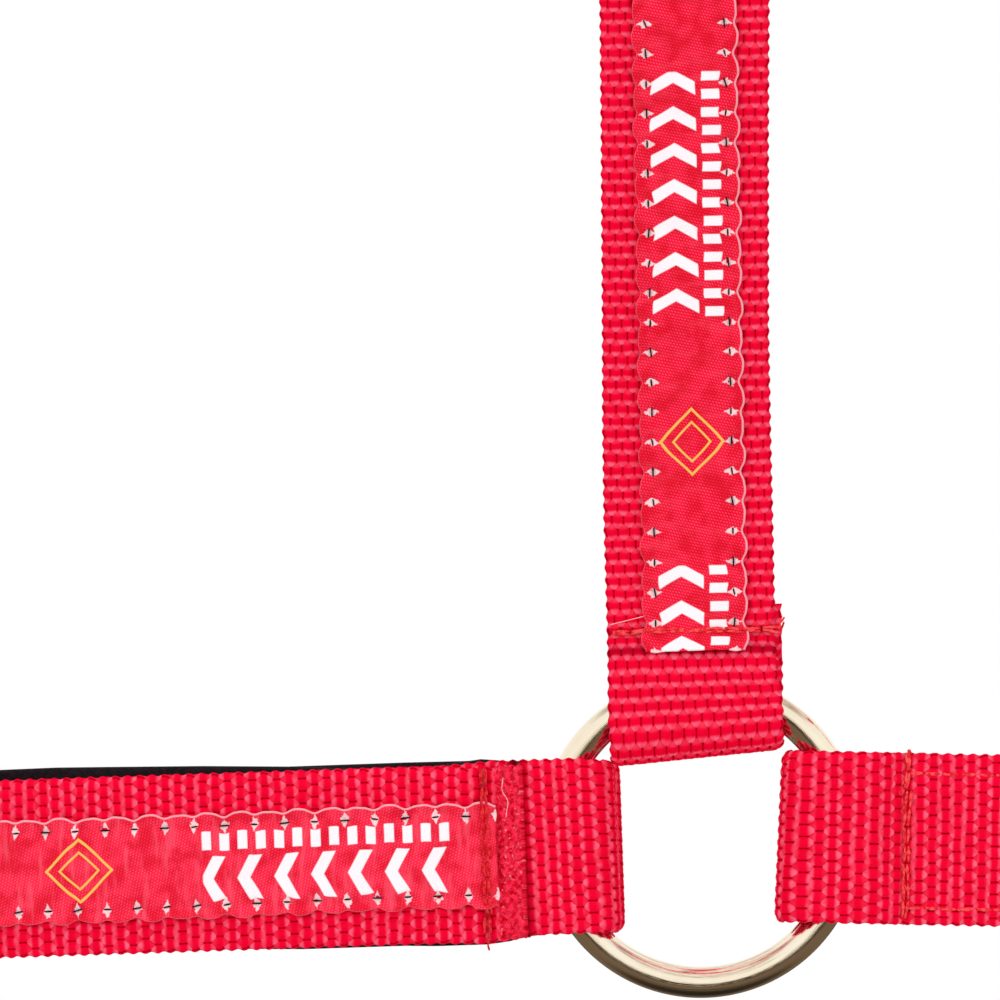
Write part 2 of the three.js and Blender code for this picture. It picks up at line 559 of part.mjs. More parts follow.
function makeBuckle(parent) {
  const heelClose = HEEL_FOLD - LAYER;
  const strap = barLoop(HEEL / 2, BAR_FOLD, skewRoom).reach('x', HEEL - HEEL_CLEAR);
  strap.shift(heelClose, FLARE_SLOPE, FLARE_RADIUS).reach('x', HEEL).turn(-180, HEEL_FOLD);
  strap.reach('x', HEEL - HEEL_CLEAR + flareLength(heelClose)).shift(-heelClose, FLARE_SLOPE, FLARE_RADIUS);
  strap.reach('x', HEEL / 2 + GAP);
  const slit = new THREE.BoxGeometry(SLIT[0], 4 * HEEL_FOLD, SLIT[1]).translate(HEEL + 1, 0, 0);
  add(parent, 'buckle_strap', cut(band(strap.points, WEB_WIDTH, WEB_THICK), slit), red);

  const buckle = frame(parent, HEEL, 0, 0);
  const lying = (geometry) => geometry.rotateX(Math.PI / 2);
  const arm = roundedRectangle(ROLLER + ARM_HEIGHT, ARM_HEIGHT, ARM_HEIGHT / 2 - 0.3);
  const arms = [-1, 1].map((side) => prism(arm, ARM_THICK, 4).translate(ROLLER / 2, 0, side * ARM_AT));
  const heelBar = lying(cylinder(HEEL_RADIUS, 2 * ARM_AT));
  const rollerBar = lying(cylinder(ROLLER_BAR_RADIUS, 2 * ARM_AT, 12)).translate(ROLLER, 0, 0);
  add(buckle, 'buckle_frame', joined(arms[0], arms[1], heelBar, rollerBar), gold);
  const tube = lying(cylinder(ROLLER_RADIUS, 2 * ARM_AT - ARM_THICK - 2 * GAP));
  const bore = lying(cylinder(ROLLER_BAR_RADIUS + 0.25, 40, 12));
  const roller = add(buckle, 'buckle_roller', cut(tube, bore), gold);
  roller.position.x = ROLLER;
  const eye = cut(lying(cylinder(TONGUE_EYE + 1.2, 4.4)), lying(cylinder(TONGUE_EYE, 10)));
  const line = TONGUE_LINE.map(([x, y]) => new THREE.Vector3(x, y, 0));
  add(buckle, 'buckle_tongue', joined(eye, rod(line, TONGUE_RADIUS, 5, 16)), gold);

  const low = -LAYER - WEB_THICK / 2 - 0.4;
  const high = TAIL_LIFT + WEB_THICK / 2 + KEEPER_ROOM;
  const height = high - low;
  const width = WEB_WIDTH + KEEPER_ROOM;
  for (const [name, at] of KEEPERS) {
    const shape = roundedRectangle(width + 2 * KEEPER_THICK, height + 2 * KEEPER_THICK, 2.4);
    shape.holes.push(roundedRectangle(width, height, 0.8));
    const keeper = add(parent, name, prism(shape, KEEPER_LENGTH, 3), red);
    keeper.position.set(at, (low + high) / 2, 0);
    keeper.rotation.y = Math.PI / 2;
  }
}

// ---- throat strap and its snap, in a plan that slopes down to the rear ----
const THROAT_STRAIGHT = 102;      // square's rear bar to where the strap turns across
const THROAT_RADIUS = 62;
const SNAP_AXIS = 5.5;            // snap's axis outside the near square's bar
const SNAP_REACH = 52;            // snap's origin, behind the square's bar
const EYE_BAR_AT = -12;           // swivel eye's rear bar, along the snap from its origin
const EYE_BAR = 3.6;
const EYE_ROOM = 2;
const EYE_LENGTH = 8;             // swivel eye's opening along the snap
const EYE_FOLD = EYE_BAR / 2 + 0.5 + WEB_THICK / 2;
const SNAP_LOOP_END = 32;         // end of the loop's inner layer, behind the swivel eye's bar

function throatLine() {
  const near = -BROW_HALF_WIDTH - SNAP_AXIS;
  const route = barLoop(LOOP_END, BAR_FOLD, skewRoom);
  route.points.forEach((point) => { point.y += BROW_HALF_WIDTH; });
  const across = BROW_HALF_WIDTH - near - 2 * THROAT_RADIUS;
  route.reach('x', THROAT_STRAIGHT).turn(-90, THROAT_RADIUS + LAYER).go(across);
  route.turn(-90, THROAT_RADIUS + LAYER);
  const bar = SNAP_REACH - EYE_BAR_AT;
  const close = EYE_FOLD - LAYER;
  route.reach('x', bar + BAR_CLEAR + flareLength(close)).shift(close, FLARE_SLOPE, FLARE_RADIUS);
  route.reach('x', bar).turn(-180, EYE_FOLD);
  route.reach('x', bar + BAR_CLEAR).shift(-close, FLARE_SLOPE, FLARE_RADIUS).reach('x', bar + SNAP_LOOP_END);
  return route.points;
}

function makeThroat() {
  const offset = new THREE.Vector2(Math.cos(rad(squareTilt)), -Math.sin(rad(squareTilt)));
  const rearBar = squareCentre.clone().addScaledVector(offset, squareHalf);
  const group = frame(halter, rearBar.x, 0, rearBar.y, THROAT_PITCH);
  add(group, 'throat_strap', band(throatLine(), WEB_WIDTH, WEB_THICK), red);
  const snap = frame(group, SNAP_REACH, -BROW_HALF_WIDTH - SNAP_AXIS, 0);
  snap.rotation.z = Math.PI;
  makeSnap(snap);
  const rear = new THREE.Vector2(THROAT_STRAIGHT + THROAT_RADIUS + LAYER, 0);
  return rear.rotateAround(new THREE.Vector2(), -rad(THROAT_PITCH)).add(rearBar);
}

// the snap lies along X from its swivel eye to its hook
const BARREL = [8, 42];
const BARREL_RADIUS = 5.2;
const BORE_RADIUS = 3.1;
const BOSS_RADIUS = 3.2;          // swivel: its boss, shank and head inside the barrel
const SHANK_RADIUS = 1.3;
const HEAD_RADIUS = 2.4;
const HEAD = [10.9, 12.4];
const SHANK_HOLE = [1.65, 10.5];  // hole's radius, and where it meets the bore
const BOLT = [28, 54];
const BOLT_RADIUS = 2.8;
const KNOB_AT = 31;
const BOLT_TRAVEL = 8;
const STEM_RADIUS = 1.4;
const STEM_TOP = 7.4;
const KNOB_RADIUS = 3.2;
const KNOB_THICK = 1.6;
const SLOT_WIDTH = 3.6;
const ARM_RADIUS = 2.3;
const HOOK_LINE = [
  [34, -4.8], [40, -7.6], [46.5, -11.2], [53.5, -12.2], [60, -9], [62.4, -4], [60.6, -0.8], [57.2, 0.1],
  [54.7, 0],
];
const SPRING = { from: 13, to: 27.6, radius: 2.3, wire: 0.4, turns: 5 };

// a round bar along X between two places
function bar(radius, from, to, segments = 16) {
  return cylinder(radius, to - from, segments).rotateZ(Math.PI / 2).translate((from + to) / 2, 0, 0);
}

function makeSnap(parent) {
  const loop = squareFrame(EYE_LENGTH, WEB_WIDTH + EYE_ROOM, EYE_BAR, EYE_BAR).rotateX(Math.PI / 2);
  loop.translate(EYE_BAR_AT + (EYE_LENGTH + EYE_BAR) / 2, 0, 0);
  const boss = bar(BOSS_RADIUS, -0.5, BARREL[0] - 2 * GAP);
  const shank = bar(SHANK_RADIUS, 5, HEAD[1] - 0.8, 12);
  const head = bar(HEAD_RADIUS, ...HEAD, 12);
  add(parent, 'snap_eye', joined(loop, boss, shank, head), gold);

  const arm = rod(HOOK_LINE.map(([x, y]) => new THREE.Vector3(x, y, 0)), ARM_RADIUS, 6, 24);
  const barrel = bar(BARREL_RADIUS, BARREL[0], BARREL[1], 20);
  const bore = bar(BORE_RADIUS, SHANK_HOLE[1], BARREL[1] + 1);
  const hole = bar(SHANK_HOLE[0], BARREL[0] - 1, SHANK_HOLE[1] + 0.5, 12);
  const slotFrom = KNOB_AT - BOLT_TRAVEL - 2;
  const slotTo = KNOB_AT + 2;
  const slot = new THREE.BoxGeometry(slotTo - slotFrom, 2 * BARREL_RADIUS, SLOT_WIDTH);
  slot.translate((slotFrom + slotTo) / 2, BARREL_RADIUS, 0);
  add(parent, 'snap_hook', cut(joined(barrel, arm), bore, hole, slot), gold);

  const plunger = bar(BOLT_RADIUS, BOLT[0], BOLT[1]);
  const stem = cylinder(STEM_RADIUS, STEM_TOP, 12).translate(KNOB_AT, STEM_TOP / 2, 0);
  const knob = cylinder(KNOB_RADIUS, KNOB_THICK).translate(KNOB_AT, STEM_TOP + KNOB_THICK / 4, 0);
  add(parent, 'snap_bolt', joined(plunger, stem, knob), gold);
  add(parent, 'snap_spring', springCoil(SPRING), steel);
}

function springCoil({ from, to, radius, wire, turns }) {
  const points = [];
  const count = turns * 10;
  for (let i = 0; i <= count; i++) {
    const angle = 2 * Math.PI * turns * i / count;
    const x = from + wire + (to - from - 2 * wire) * i / count;
    points.push(new THREE.Vector3(x, radius * Math.cos(angle), radius * Math.sin(angle)));
  }
  return rod(points, wire, 3, count);
}

// ---- connector strap from the chin ring up to the throat strap, drawn in the middle plane ----
const CONNECTOR_START = 38;       // straight stretch from the chin ring's centre
const THROAT_FOLD = WEB_THICK + GAP;    // fold radius over the throat strap's edge
const BELOW_THROAT = 12;          // where the loop round the throat strap begins, below its edge
const LOOP_LEAD = 2;              // straight run before the loop opens
const SPREAD_RUN = 7;             // length over which the loop opens
const SPREAD_SLOPE = 12;

function makeConnector(chinCentre, throatRear) {
  const endHeading = Math.PI / 2 - rad(THROAT_PITCH);
  const end = new THREE.Vector2(Math.cos(endHeading), Math.sin(endHeading));
  const belowThroat = throatRear.clone().addScaledVector(end, -WEB_WIDTH / 2 - BELOW_THROAT);
  const reach = belowThroat.sub(chinCentre);
  // the stretch bends on one arc whose two tangents meet at an equal distance from both its ends
  const tangent = (reach.lengthSq() - CONNECTOR_START ** 2) / (2 * (reach.dot(end) + CONNECTOR_START));
  const corner = reach.clone().addScaledVector(end, -tangent);
  const start = Math.atan2(corner.y, corner.x);
  const bend = endHeading - start;
  const radius = tangent / Math.tan(bend / 2);
  const fold = foldCentre(CONNECTOR_WIDTH / 2);
  const close = WIRE_FOLD - LAYER;
  const spread = THROAT_FOLD - LAYER;
  const route = new Route(LOOP_END, LAYER, 180);
  route.reach('x', FLARE_START + flareLength(close)).shift(-close, FLARE_SLOPE, FLARE_RADIUS);
  route.reach('x', fold).turn(180, WIRE_FOLD);
  route.reach('x', FLARE_START).shift(close, FLARE_SLOPE, FLARE_RADIUS).reach('x', CONNECTOR_START);
  route.turn(THREE.MathUtils.radToDeg(bend), radius + LAYER).go(LOOP_LEAD);
  route.shift(-spread, SPREAD_SLOPE, FLARE_RADIUS).go(BELOW_THROAT - LOOP_LEAD - SPREAD_RUN + WEB_WIDTH + 1);
  route.turn(180, THROAT_FOLD).go(WEB_WIDTH + 3).shift(spread, SPREAD_SLOPE, FLARE_RADIUS).go(LOOP_TAIL);
  const plane = new THREE.Group();
  const forward = new THREE.Vector3(Math.cos(start), 0, Math.sin(start));
  const left = new THREE.Vector3(-Math.sin(start), 0, Math.cos(start));
  plane.setRotationFromMatrix(new THREE.Matrix4().makeBasis(forward, left, new THREE.Vector3(0, -1, 0)));
  plane.position.set(chinCentre.x, 0, chinCentre.y);
  halter.add(plane);
  add(plane, 'connector_strap', band(route.points, CONNECTOR_WIDTH, WEB_THICK), red);
}

makeNoseband();
const chinCentre = makeChin();
makeCheeks();
makeSquares();
makeCrown();
makeConnector(chinCentre, makeThroat());

export default halter;
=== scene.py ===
# Looks of the flat webbing halter. Lengths are millimetres until a mesh is made; the frame is in metres.
import math
from functools import cached_property, partialmethod

import bpy
import numpy as np
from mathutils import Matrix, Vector


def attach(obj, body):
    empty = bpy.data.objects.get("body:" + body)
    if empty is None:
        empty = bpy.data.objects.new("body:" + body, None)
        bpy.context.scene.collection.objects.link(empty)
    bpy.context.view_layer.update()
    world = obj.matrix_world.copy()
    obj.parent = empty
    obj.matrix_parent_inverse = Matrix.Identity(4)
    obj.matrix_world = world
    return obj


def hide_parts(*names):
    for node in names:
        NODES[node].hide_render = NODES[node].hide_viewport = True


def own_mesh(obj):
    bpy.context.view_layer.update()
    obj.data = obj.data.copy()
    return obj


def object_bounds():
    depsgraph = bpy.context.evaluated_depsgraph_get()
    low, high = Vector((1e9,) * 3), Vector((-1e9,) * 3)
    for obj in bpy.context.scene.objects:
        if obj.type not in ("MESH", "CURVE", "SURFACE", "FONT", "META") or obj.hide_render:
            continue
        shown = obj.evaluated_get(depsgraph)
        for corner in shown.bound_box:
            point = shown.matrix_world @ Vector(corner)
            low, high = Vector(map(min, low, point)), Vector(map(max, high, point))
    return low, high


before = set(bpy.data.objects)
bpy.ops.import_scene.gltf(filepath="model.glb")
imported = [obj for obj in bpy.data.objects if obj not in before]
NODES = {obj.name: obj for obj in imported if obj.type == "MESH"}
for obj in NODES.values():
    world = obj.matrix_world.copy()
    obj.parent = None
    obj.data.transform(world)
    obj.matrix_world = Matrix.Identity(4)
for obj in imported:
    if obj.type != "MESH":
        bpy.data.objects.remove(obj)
CAD_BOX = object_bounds()
MM = 0.001

# ---- the model's driving dimensions ----
GAP = 0.3
WEB_WIDTH, WEB_THICK = 25.2, 1.8
CHIN_WIDTH, CONNECTOR_WIDTH = 25.2, 20.0
RIBBON_WIDTH, RIBBON_THICK = 15.6, 0.5
PAD_WIDTH, PAD_THICK = 27.0, 6.0
RING_RADIUS, WIRE_RADIUS = 21.7, 2.1
HALF_WIDTH, BROW_HALF_WIDTH = 64.0, 88.0
CROWN_DROP, CHEEK_LENGTH = 205.0, 205.0
SQUARE_INNER, SQUARE_BAR, SQUARE_CORNER = 34.0, 4.4, 3.4
CROWN_TILT, CHEEK_TILT, NOSE_PITCH, CHIN_PITCH, THROAT_PITCH = 12.0, -1.0, -1.9, 1.2, 12.0
FLARE_SLOPE, FLARE_RADIUS, FLARE_START = 26.0, 5.0, 23.8
LOOP_END, BAR_CLEAR, LOOP_TAIL = 34.0, 6.0, 8.0
LAYER = WEB_THICK / 2 + GAP / 2     # from the face between two layers to a layer's middle
NOSE_STRAIGHT, NOSE_SIDE_TURN, NOSE_SIDE_RADIUS, NOSE_DROP = 38.0, 11.5, 300.0, -1.1
TOP_LAYER_START, NOSE_RIBBON_START, NOSE_PAD_START = 26.0, 30.0, 24.4
CHIN_STRAIGHT, CHIN_SIDE_TURN, CHIN_SIDE_RADIUS, CHIN_CORNER_RADIUS = 38.0, 10.0, 200.0, 26.0
CHIN_RISE, CHIN_LOOP_END = 0.26, 33.0
CHEEK_LEAN, CHEEK_BEND, CHEEK_SHIFT = 10.5, 100.0, -0.3
RIBBON_ABOVE_RING, RIBBON_BELOW_SQUARE = 26.6, 30.0
CROWN_FLAT, CROWN_RADIUS = 15.0, 60.0
HEEL, HEEL_RADIUS, ROLLER, ROLLER_BAR_RADIUS, ROLLER_RADIUS = 80.0, 1.8, 26.0, 1.5, 3.1
TAIL_LIFT, RAMP_SLOPE, RAMP_RADIUS, RAMP_TOP, TAIL_END = 5.9, 38.0, 5.0, 18.2, 18.0
BEHIND_START, BEHIND_SLOPE, BEHIND_RADIUS = 57.0, 20.0, 12.0
HEEL_CLEAR = 8.0
CROWN_PAD_OFF, CROWN_PAD_NEAR = 60.0, 141.0
THROAT_STRAIGHT, THROAT_RADIUS = 102.0, 62.0
SNAP_AXIS, SNAP_REACH, EYE_BAR_AT, EYE_BAR, SNAP_LOOP_END = 5.5, 52.0, -12.0, 3.6, 32.0
CONNECTOR_START, BELOW_THROAT, LOOP_LEAD, SPREAD_RUN, SPREAD_SLOPE = 38.0, 12.0, 2.0, 7.0, 12.0
THROAT_FOLD = WEB_THICK + GAP
WIRE_FOLD = WIRE_RADIUS + GAP + WEB_THICK / 2
BAR_FOLD = SQUARE_BAR / 2 + 0.6 + WEB_THICK / 2
HEEL_FOLD = HEEL_RADIUS + GAP + WEB_THICK / 2
EYE_FOLD = EYE_BAR / 2 + 0.5 + WEB_THICK / 2
BEHIND_ROLLER = ROLLER_RADIUS + GAP + WEB_THICK / 2

# ---- the weave and the stitching ----
ROW = 1.83                    # one row of the weave to the next, along the strap
COLUMN = 1.76                 # one yarn to the next, across the strap
FLOAT_LENGTH = 1.36           # half the length of a yarn's visible float, a rounded bead
FLOAT_WIDTH = 0.84            # half its width
END_SHAPE, SIDE_SHAPE = 2.0, 2.0    # how square a float's ends and sides are
RELIEF = 0.5                  # how far a float stands up
SCALLOP = 0.14                # how far a strap's woven edge waves in and out
STITCH = 4.45                 # ribbon's stitches
STITCH_ROW = 6.2              # ribbon's middle to a row of stitches, when flat
DRAWN_IN = 0.5                # how far a stitch draws the ribbon's edge in
THREAD = 0.16                 # the sewing thread's radius
SEAM_HEIGHT = 1.15            # how high a seam lies over its strap's middle line
RING_SEAM = 30.0              # a ring's centre to the seam that closes the strap's loop
FINE_PITCH, COARSE_PITCH = 0.34, 0.5    # mesh spacing across a strap that is seen close, or isn't

# sideways offset of the noseband's top layers along the top strap, which was sewn on a little low
NOSE_DRIFT = ([0, 3.5, 6.5, 9, 13, 20, 400], [-0.2, -0.5, -0.8, -0.65, -0.42, -0.35, -0.28])
NOSE_RIBBON_DRIFT = ([0, 5, 16, 40, 60, 400], [-0.7, -0.65, -0.6, -0.85, -1.0, -1.0])

rng = np.random.default_rng(7)


# ---- outlines drawn move by move, as in the model ----
def rad(degrees):
    return math.radians(degrees)


class Route:
    def __init__(self, x, y, heading):
        self.points = [np.array([x, y], float)]
        self.heading = rad(heading)

    @property
    def end(self):
        return self.points[-1]

    def go(self, length):
        step = np.array([math.cos(self.heading), math.sin(self.heading)])
        self.points.append(self.end + step * length)
        return self

    def reach(self, axis, value):
        slope = math.cos(self.heading) if axis == "x" else math.sin(self.heading)
        return self.go((value - self.end["xy".index(axis)]) / slope)

    def turn(self, degrees, radius):
        count = max(2, int(abs(degrees) / 2) + 1)
        to_centre = self.heading + math.copysign(math.pi / 2, degrees)
        centre = self.end + radius * np.array([math.cos(to_centre), math.sin(to_centre)])
        for i in range(1, count + 1):
            angle = to_centre + math.pi + rad(degrees) * i / count
            self.points.append(centre + radius * np.array([math.cos(angle), math.sin(angle)]))
        self.heading += rad(degrees)
        return self

    def shift(self, sideways, slope, radius):
        side = math.copysign(1, sideways)
        straight = (abs(sideways) - 2 * radius * (1 - math.cos(rad(slope)))) / math.sin(rad(slope))
        return self.turn(side * slope, radius).go(straight).turn(-side * slope, radius)

    def flare(self, sideways):
        """The step sideways where two layers part round a wire or a bar."""
        return self.shift(sideways, FLARE_SLOPE, FLARE_RADIUS)

    @property
    def line(self):
        return np.array(self.points)


def without_repeats(points):
    points = np.asarray(points, float)
    steps = np.linalg.norm(np.diff(points, axis=0), axis=1)
    return points[np.concatenate([[True], steps > 1e-4])]


def normals(points):
    """Unit normals on the left of a line, at its points."""
    steps = np.diff(points, axis=0)
    steps /= np.linalg.norm(steps, axis=1)[:, None]
    ahead = np.vstack([steps, steps[-1:]])
    behind = np.vstack([steps[:1], steps])
    along = ahead + behind
    along /= np.linalg.norm(along, axis=1)[:, None]
    return np.stack([-along[:, 1], along[:, 0]], axis=1)


def parallel(points, distance):
    points = without_repeats(points)
    return points + normals(points) * distance


def mirrored(points):
    return (np.asarray(points) * [1, -1])[::-1]


def flipped(points):
    return (np.asarray(points) * [-1, 1])[::-1]


def after(points, axis, value):
    k = "xy".index(axis)
    points = np.asarray(points)
    first = np.nonzero((points[:, k] - value) * (points[0, k] - value) <= 0)[0][0]
    a, b = points[first - 1], points[first]
    start = a + (b - a) * (value - a[k]) / (b[k] - a[k])
    return without_repeats(np.vstack([start, points[first:]]))


def fold_centre(reach):
    return math.sqrt((RING_RADIUS - WIRE_RADIUS) ** 2 - reach ** 2) + WIRE_RADIUS


def flare_length(sideways):
    return Route(0, 0, 0).flare(sideways).end[0]


# ---- places, worked out from the driving dimensions ----
def tilted(degrees):
    """The x, y and z directions of a frame tilted about Y."""
    c, s = math.cos(rad(degrees)), math.sin(rad(degrees))
    return np.array([c, 0, -s]), np.array([0.0, 1, 0]), np.array([s, 0, c])


class Place:
    """A drawing plane in the object's frame; a strap's width runs across it."""

    def __init__(self, origin, x, y):
        self.origin, self.x, self.y = (np.asarray(v, float) for v in (origin, x, y))
        self.across = np.cross(self.x, self.y)

    def put(self, xy, across):
        return self.origin + xy[..., :1] * self.x + xy[..., 1:] * self.y + across[..., None] * self.across


SQUARE_HALF = (SQUARE_INNER + SQUARE_BAR) / 2
SQUARE_TILT = (CROWN_TILT + CHEEK_TILT) / 2
SKEW_ROOM = WEB_WIDTH / 2 * math.sin(rad((CROWN_TILT - CHEEK_TILT) / 2)) + 0.2
TOP_BAR = -CROWN_DROP * tilted(CROWN_TILT)[2]
SQUARE_CENTRE = TOP_BAR - SQUARE_HALF * tilted(SQUARE_TILT)[2]
BOTTOM_BAR = SQUARE_CENTRE - SQUARE_HALF * tilted(SQUARE_TILT)[2]
RING_CENTRE = BOTTOM_BAR - CHEEK_LENGTH * tilted(CHEEK_TILT)[2]
REAR_BAR = SQUARE_CENTRE + SQUARE_HALF * tilted(SQUARE_TILT)[0]


def plan(origin, degrees, lift=0.0):
    x, y, z = tilted(degrees)
    return Place(origin + lift * z, x, y)


def upright(origin, degrees, shift=0.0):
    x, y, z = tilted(degrees)
    return Place(origin + shift * x, y, z)


NOSE_PLACE = plan(RING_CENTRE, NOSE_PITCH, NOSE_DROP)
CHIN_PLACE = plan(RING_CENTRE, CHIN_PITCH, CHIN_RISE)
CHEEK_PLACE = upright(RING_CENTRE, CHEEK_TILT, CHEEK_SHIFT)
CROWN_PLACE = upright(np.zeros(3), CROWN_TILT)
THROAT_PLACE = plan(REAR_BAR, THROAT_PITCH)

CROWN_TOP = PAD_THICK + GAP + WEB_THICK / 2
CROWN_RISE = CROWN_TOP - LAYER + CROWN_DROP
CROWN_ACROSS = BROW_HALF_WIDTH - CROWN_FLAT
CROWN_SPAN = math.hypot(CROWN_ACROSS, CROWN_RISE - CROWN_RADIUS)
CROWN_LEAN = math.degrees(
    math.atan2(CROWN_ACROSS, CROWN_RISE - CROWN_RADIUS) - math.asin(CROWN_RADIUS / CROWN_SPAN))
CROWN_STRAIGHT = math.sqrt(CROWN_SPAN ** 2 - CROWN_RADIUS ** 2)


# ---- middle lines of the straps ----
def nose_layer(outside):
    front = NOSE_SIDE_RADIUS * (1 - math.cos(rad(NOSE_SIDE_TURN)))
    front = (HALF_WIDTH - front) / math.cos(rad(NOSE_SIDE_TURN))
    fold = fold_centre(WEB_WIDTH / 2 - NOSE_DROP)
    route = Route(-fold, -HALF_WIDTH - outside * WIRE_FOLD, 180)
    route.reach("x", -FLARE_START).flare(-outside * (WIRE_FOLD - LAYER))
    route.reach("x", -NOSE_STRAIGHT).turn(-NOSE_SIDE_TURN, NOSE_SIDE_RADIUS + outside * LAYER)
    return route.turn(NOSE_SIDE_TURN - 90, front + outside * LAYER).line


def nose_base():
    outer, inner = nose_layer(1), nose_layer(-1)
    fold = Route(inner[0][0], inner[0][1], 0).turn(-180, WIRE_FOLD).line
    stop = inner[-1] - [0, GAP]
    half = np.vstack([stop, inner[:-1][::-1], fold[1:], outer[1:]])
    return np.vstack([half, mirrored(half)[1:]])


def nose_wrap(line, start, distance):
    side = after(parallel(line, distance), "x", -start)
    return np.vstack([side, mirrored(side)[1:]])


def round_ring(route, axis, fold, sign=1):
    """Parts from the layer beside it, folds round a ring's wire and comes back against that layer."""
    close = WIRE_FOLD - LAYER
    route.reach(axis, sign * (FLARE_START + flare_length(close))).flare(-close)
    route.reach(axis, sign * fold).turn(180, WIRE_FOLD)
    return route.reach(axis, sign * FLARE_START).flare(close)


def chin_line():
    """The chin strap's middle line, and how far behind the side rings its rear end is."""
    route = Route(LOOP_END, -HALF_WIDTH + LAYER, 180)
    round_ring(route, "x", fold_centre(CHIN_WIDTH / 2 + CHIN_RISE)).reach("x", CHIN_STRAIGHT)
    route.turn(CHIN_SIDE_TURN, CHIN_SIDE_RADIUS + LAYER)
    route.turn(90 - CHIN_SIDE_TURN, CHIN_CORNER_RADIUS + LAYER)
    rear = route.end[0] - LAYER
    round_ring(route, "y", fold_centre(CHIN_WIDTH / 2), -1).reach("y", -CHIN_LOOP_END)
    return route.line, rear


def cheek_outer():
    low = fold_centre(WEB_WIDTH / 2 - CHEEK_SHIFT)
    route = Route(-HALF_WIDTH - WIRE_FOLD, low, 90)
    route.reach("y", FLARE_START).flare(LAYER - WIRE_FOLD)
    route.reach("y", LOOP_END + 4).shift(BROW_HALF_WIDTH - HALF_WIDTH, CHEEK_LEAN, CHEEK_BEND)
    close = BAR_FOLD - LAYER
    route.reach("y", CHEEK_LENGTH - SKEW_ROOM - BAR_CLEAR - flare_length(close))
    return route.flare(close).reach("y", CHEEK_LENGTH + SKEW_ROOM)


def cheek_line():
    low = Route(-HALF_WIDTH + LAYER, LOOP_END, 270)
    low.reach("y", FLARE_START + flare_length(WIRE_FOLD - LAYER))
    low.flare(WIRE_FOLD - LAYER)
    low.reach("y", fold_centre(WEB_WIDTH / 2 - CHEEK_SHIFT)).turn(-180, WIRE_FOLD)
    high = cheek_outer().turn(-180, BAR_FOLD)
    high.reach("y", CHEEK_LENGTH - SKEW_ROOM - BAR_CLEAR)
    high.flare(LAYER - BAR_FOLD).go(LOOP_TAIL)
    return np.vstack([low.line, high.line[1:]])


def cheek_ribbon_line():
    line = after(cheek_outer().line, "y", RIBBON_ABOVE_RING)
    return after(line[::-1], "y", CHEEK_LENGTH - RIBBON_BELOW_SQUARE)[::-1]


def from_bar(points, sign):
    lean = rad(CROWN_LEAN)
    up = np.array([-sign * math.sin(lean), math.cos(lean)])
    out = np.array([sign * math.cos(lean), math.sin(lean)])
    points = np.asarray(points)
    return np.array([sign * BROW_HALF_WIDTH, -CROWN_DROP]) + points[:, :1] * up + points[:, 1:] * out


def bar_loop(layer_end, fold, room):
    close = fold - LAYER
    clear = room + BAR_CLEAR
    route = Route(layer_end, -LAYER, 180).reach("x", clear + flare_length(close))
    route.flare(close).reach("x", -room).turn(-180, fold)
    return route.reach("x", clear).flare(-close)


def over_poll(start):
    route = Route(start[0], start[1], 90 + CROWN_LEAN).turn(90 - CROWN_LEAN, CROWN_RADIUS + LAYER)
    return route.go(2 * CROWN_FLAT).turn(90 - CROWN_LEAN, CROWN_RADIUS + LAYER).line


def crown_line():
    off = from_bar(bar_loop(LOOP_END, BAR_FOLD, SKEW_ROOM).reach("x", CROWN_STRAIGHT).line, 1)
    near = Route(CROWN_STRAIGHT, LAYER, 180)
    near.reach("x", HEEL + BEHIND_START).shift(LAYER + BEHIND_ROLLER, BEHIND_SLOPE, BEHIND_RADIUS)
    near.reach("x", HEEL + RAMP_TOP).shift(-BEHIND_ROLLER - TAIL_LIFT, RAMP_SLOPE, RAMP_RADIUS)
    near.reach("x", TAIL_END)
    return np.vstack([off, over_poll(off[-1])[1:], from_bar(near.line[1:], -1)])


def crown_arch():
    off = from_bar([[CROWN_PAD_OFF, LAYER], [CROWN_STRAIGHT, LAYER]], 1)
    near = from_bar([[CROWN_PAD_NEAR, LAYER]], -1)
    return np.vstack([off, over_poll(off[1])[1:], near])


def buckle_strap_line():
    close = HEEL_FOLD - LAYER
    route = bar_loop(HEEL / 2, BAR_FOLD, SKEW_ROOM).reach("x", HEEL - HEEL_CLEAR)
    route.flare(close).reach("x", HEEL).turn(-180, HEEL_FOLD)
    route.reach("x", HEEL - HEEL_CLEAR + flare_length(close)).flare(-close)
    return route.reach("x", HEEL / 2 + GAP).line


def throat_line():
    near = -BROW_HALF_WIDTH - SNAP_AXIS
    route = bar_loop(LOOP_END, BAR_FOLD, SKEW_ROOM)
    route.points = [point + [0, BROW_HALF_WIDTH] for point in route.points]
    across = BROW_HALF_WIDTH - near - 2 * THROAT_RADIUS
    route.reach("x", THROAT_STRAIGHT).turn(-90, THROAT_RADIUS + LAYER).go(across)
    route.turn(-90, THROAT_RADIUS + LAYER)
    bar = SNAP_REACH - EYE_BAR_AT
    close = EYE_FOLD - LAYER
    route.reach("x", bar + BAR_CLEAR + flare_length(close)).flare(close)
    route.reach("x", bar).turn(-180, EYE_FOLD)
    return route.reach("x", bar + BAR_CLEAR).flare(-close).reach("x", bar + SNAP_LOOP_END).line


